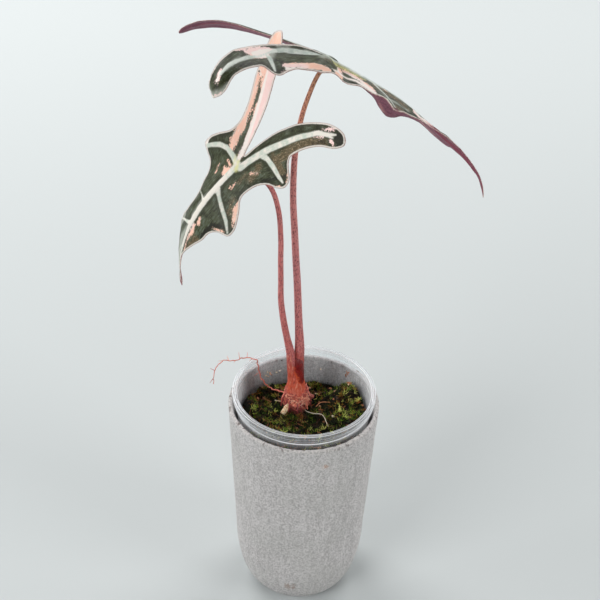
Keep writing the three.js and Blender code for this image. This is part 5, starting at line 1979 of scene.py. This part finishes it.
@dataclass
class Studio:
    """Camera, floor and soft light, as the photograph was taken; millimetres and degrees."""

    target: Point = (-4.7, 0.0, 238.5)
    distance: float = 814.2
    pitch: float = 36.05
    roll: float = 1.86
    lens: float = 78.0

    def build(self) -> None:
        """Set up everything that isn't the object."""
        self.place_camera()
        self.lay_floor()
        self.hang_lights()

    def place_camera(self) -> None:
        """Aim the camera at the plant."""
        pitch, roll = math.radians(self.pitch), math.radians(self.roll)
        ahead = Vector((0, math.cos(pitch), -math.sin(pitch)))
        level = Vector((1, 0, 0))
        above = level.cross(ahead)
        right = level * math.cos(roll) + above * math.sin(roll)
        up = above * math.cos(roll) - level * math.sin(roll)
        data = bpy.data.cameras.new("camera")
        data.lens = self.lens
        data.sensor_width = 36.0
        camera = place_object("camera", data)
        place = Vector(self.target) * MM - ahead * self.distance * MM
        camera.matrix_world = Matrix.Translation(place) @ Matrix((right, up, -ahead)).transposed().to_4x4()
        bpy.context.scene.camera = camera

    def lay_floor(self) -> None:
        """Lay a wide pale floor."""
        mesh = bmesh.new()
        bmesh.ops.create_grid(mesh, x_segments=1, y_segments=1, size=6.0)
        data = bpy.data.meshes.new("floor")
        mesh.to_mesh(data)
        mesh.free()
        data.materials.append(Graph("floor_paper").skin(tone(195, 200, 200), 0.85))
        place_object("floor", data)

    def hang_lights(self) -> None:
        """Hang four soft boxes round the plant and two over the floor behind it, under a faint sky."""
        plant, floor_behind = Vector((0.0, 0.0, 0.1)), Vector((0.0, 1.0, 0.0))
        lamps = (
            ("right box", (1.3, -0.6, 0.5), plant, 0.6, 9.4),
            ("left box", (-0.9, -0.95, 0.8), plant, 0.7, 9.0),
            ("side box", (-1.3, -0.2, 0.6), plant, 0.6, 3.0),
            ("front box", (-0.7, -0.7, 1.0), plant, 0.5, 1.5),
            ("back left", (-0.8, 1.2, 1.2), floor_behind, 1.2, 22.5),
            ("back right", (0.8, 1.2, 1.2), floor_behind, 1.2, 16.0))
        for name, place, aim, size, power in lamps:
            data = bpy.data.lights.new(name, "AREA")
            data.size = size
            data.energy = power
            lamp = place_object(name, data)
            facing = (aim - Vector(place)).to_track_quat("-Z", "Y")
            lamp.matrix_world = Matrix.Translation(place) @ facing.to_matrix().to_4x4()
        world = bpy.data.worlds.new("studio")
        world.use_nodes = True
        background = world.node_tree.nodes["Background"]
        background.inputs[0].default_value = tone(236, 238, 240)
        background.inputs[1].default_value = 0.12
        bpy.context.scene.world = world
        bpy.context.scene.view_settings.view_transform = "Standard"


STALK_BRICK = tone(180, 84, 80)
FRONT_SKIN = StalkSkin("front_stalk_skin", (
    (0.0, STALK_BRICK), (0.6, tone(184, 92, 90)), (1.0, tone(188, 96, 90))))
BACK_SKIN = StalkSkin("back_stalk_skin", (
    (0.0, STALK_BRICK), (0.35, tone(188, 110, 112)), (0.7, tone(204, 124, 114)), (0.84, tone(208, 146, 110)),
    (1.0, tone(178, 142, 82))))


def front_petiole() -> Petiole:
    """Describe the stalk of the front leaf.

    Returns:
        The stalk.
    """
    stations = (
        (-8.9, 8.5, 180, 2.8), (-9.9, 7.6, 190.5, 2.75), (-12.3, 5.7, 203.7, 2.3), (-14.8, 2.8, 220.3, 2.1),
        (-16.6, -0.5, 238.3, 1.9), (-16.9, -3.5, 255.8, 1.75), (-17.2, -6.7, 272.9, 1.7),
        (-17.3, -9.8, 289.5, 1.65),
        (-19.0, -14.8, 313.6, 1.55), (-23.4, -18.5, 330.5, 1.5), (-30.6, -20, 339.7, 1.6))
    return Petiole("front_stalk", "front_petiole", stations, front_blade(), FRONT_SKIN)


def back_petiole() -> Petiole:
    """Describe the stalk of the back leaf.

    Returns:
        The stalk.
    """
    stations = (
        (-4.2, 11.1, 180, 3.4), (-4.0, 11, 190.5, 3.3), (-4.2, 10.8, 198.4, 3.0), (-5.0, 10.4, 212, 2.6),
        (-6.9, 8.9, 247.5, 2.35), (-8.0, 7.8, 263.4, 2.25), (-9.4, 6.2, 286.5, 2.15),
        (-10.7, 4.8, 308.7, 2.0),
        (-10.8, 3.3, 330.2, 1.9), (-10.0, 2.3, 345.5, 1.75), (-7.5, 1.1, 364.6, 1.5),
        (-3.8, 0.4, 379.5, 1.35),
        (1.8, -0.5, 394.8, 1.25))
    return Petiole("back_stalk", "back_petiole", stations, back_blade(), BACK_SKIN, turn=3.0)


def main() -> None:
    """Build the plant and its pots, then the studio round them."""
    logging.basicConfig(level=logging.INFO, format="%(name)s %(message)s")
    noise.seed_set(NOISE_SEED)
    cup = GrowCup()
    front_top = LeafTop("front_leaf_top", tone(202, 212, 198), tone(246, 238, 228)).material()
    back_top = LeafTop("back_leaf_top", tone(186, 198, 188), tone(228, 233, 224)).material()
    under, rim = LeafUnder().material(), LeafRim().material()
    CementPot().build()
    cup.build()
    MossBed(cup=cup).build()
    Crown().build()
    front_petiole().build()
    front_blade().build([front_top, under, rim])
    back_petiole().build()
    back_blade().build([back_top, under, rim])
    LooseRoot().build()
    Studio().build()


if __name__ == "__main__":
    main()
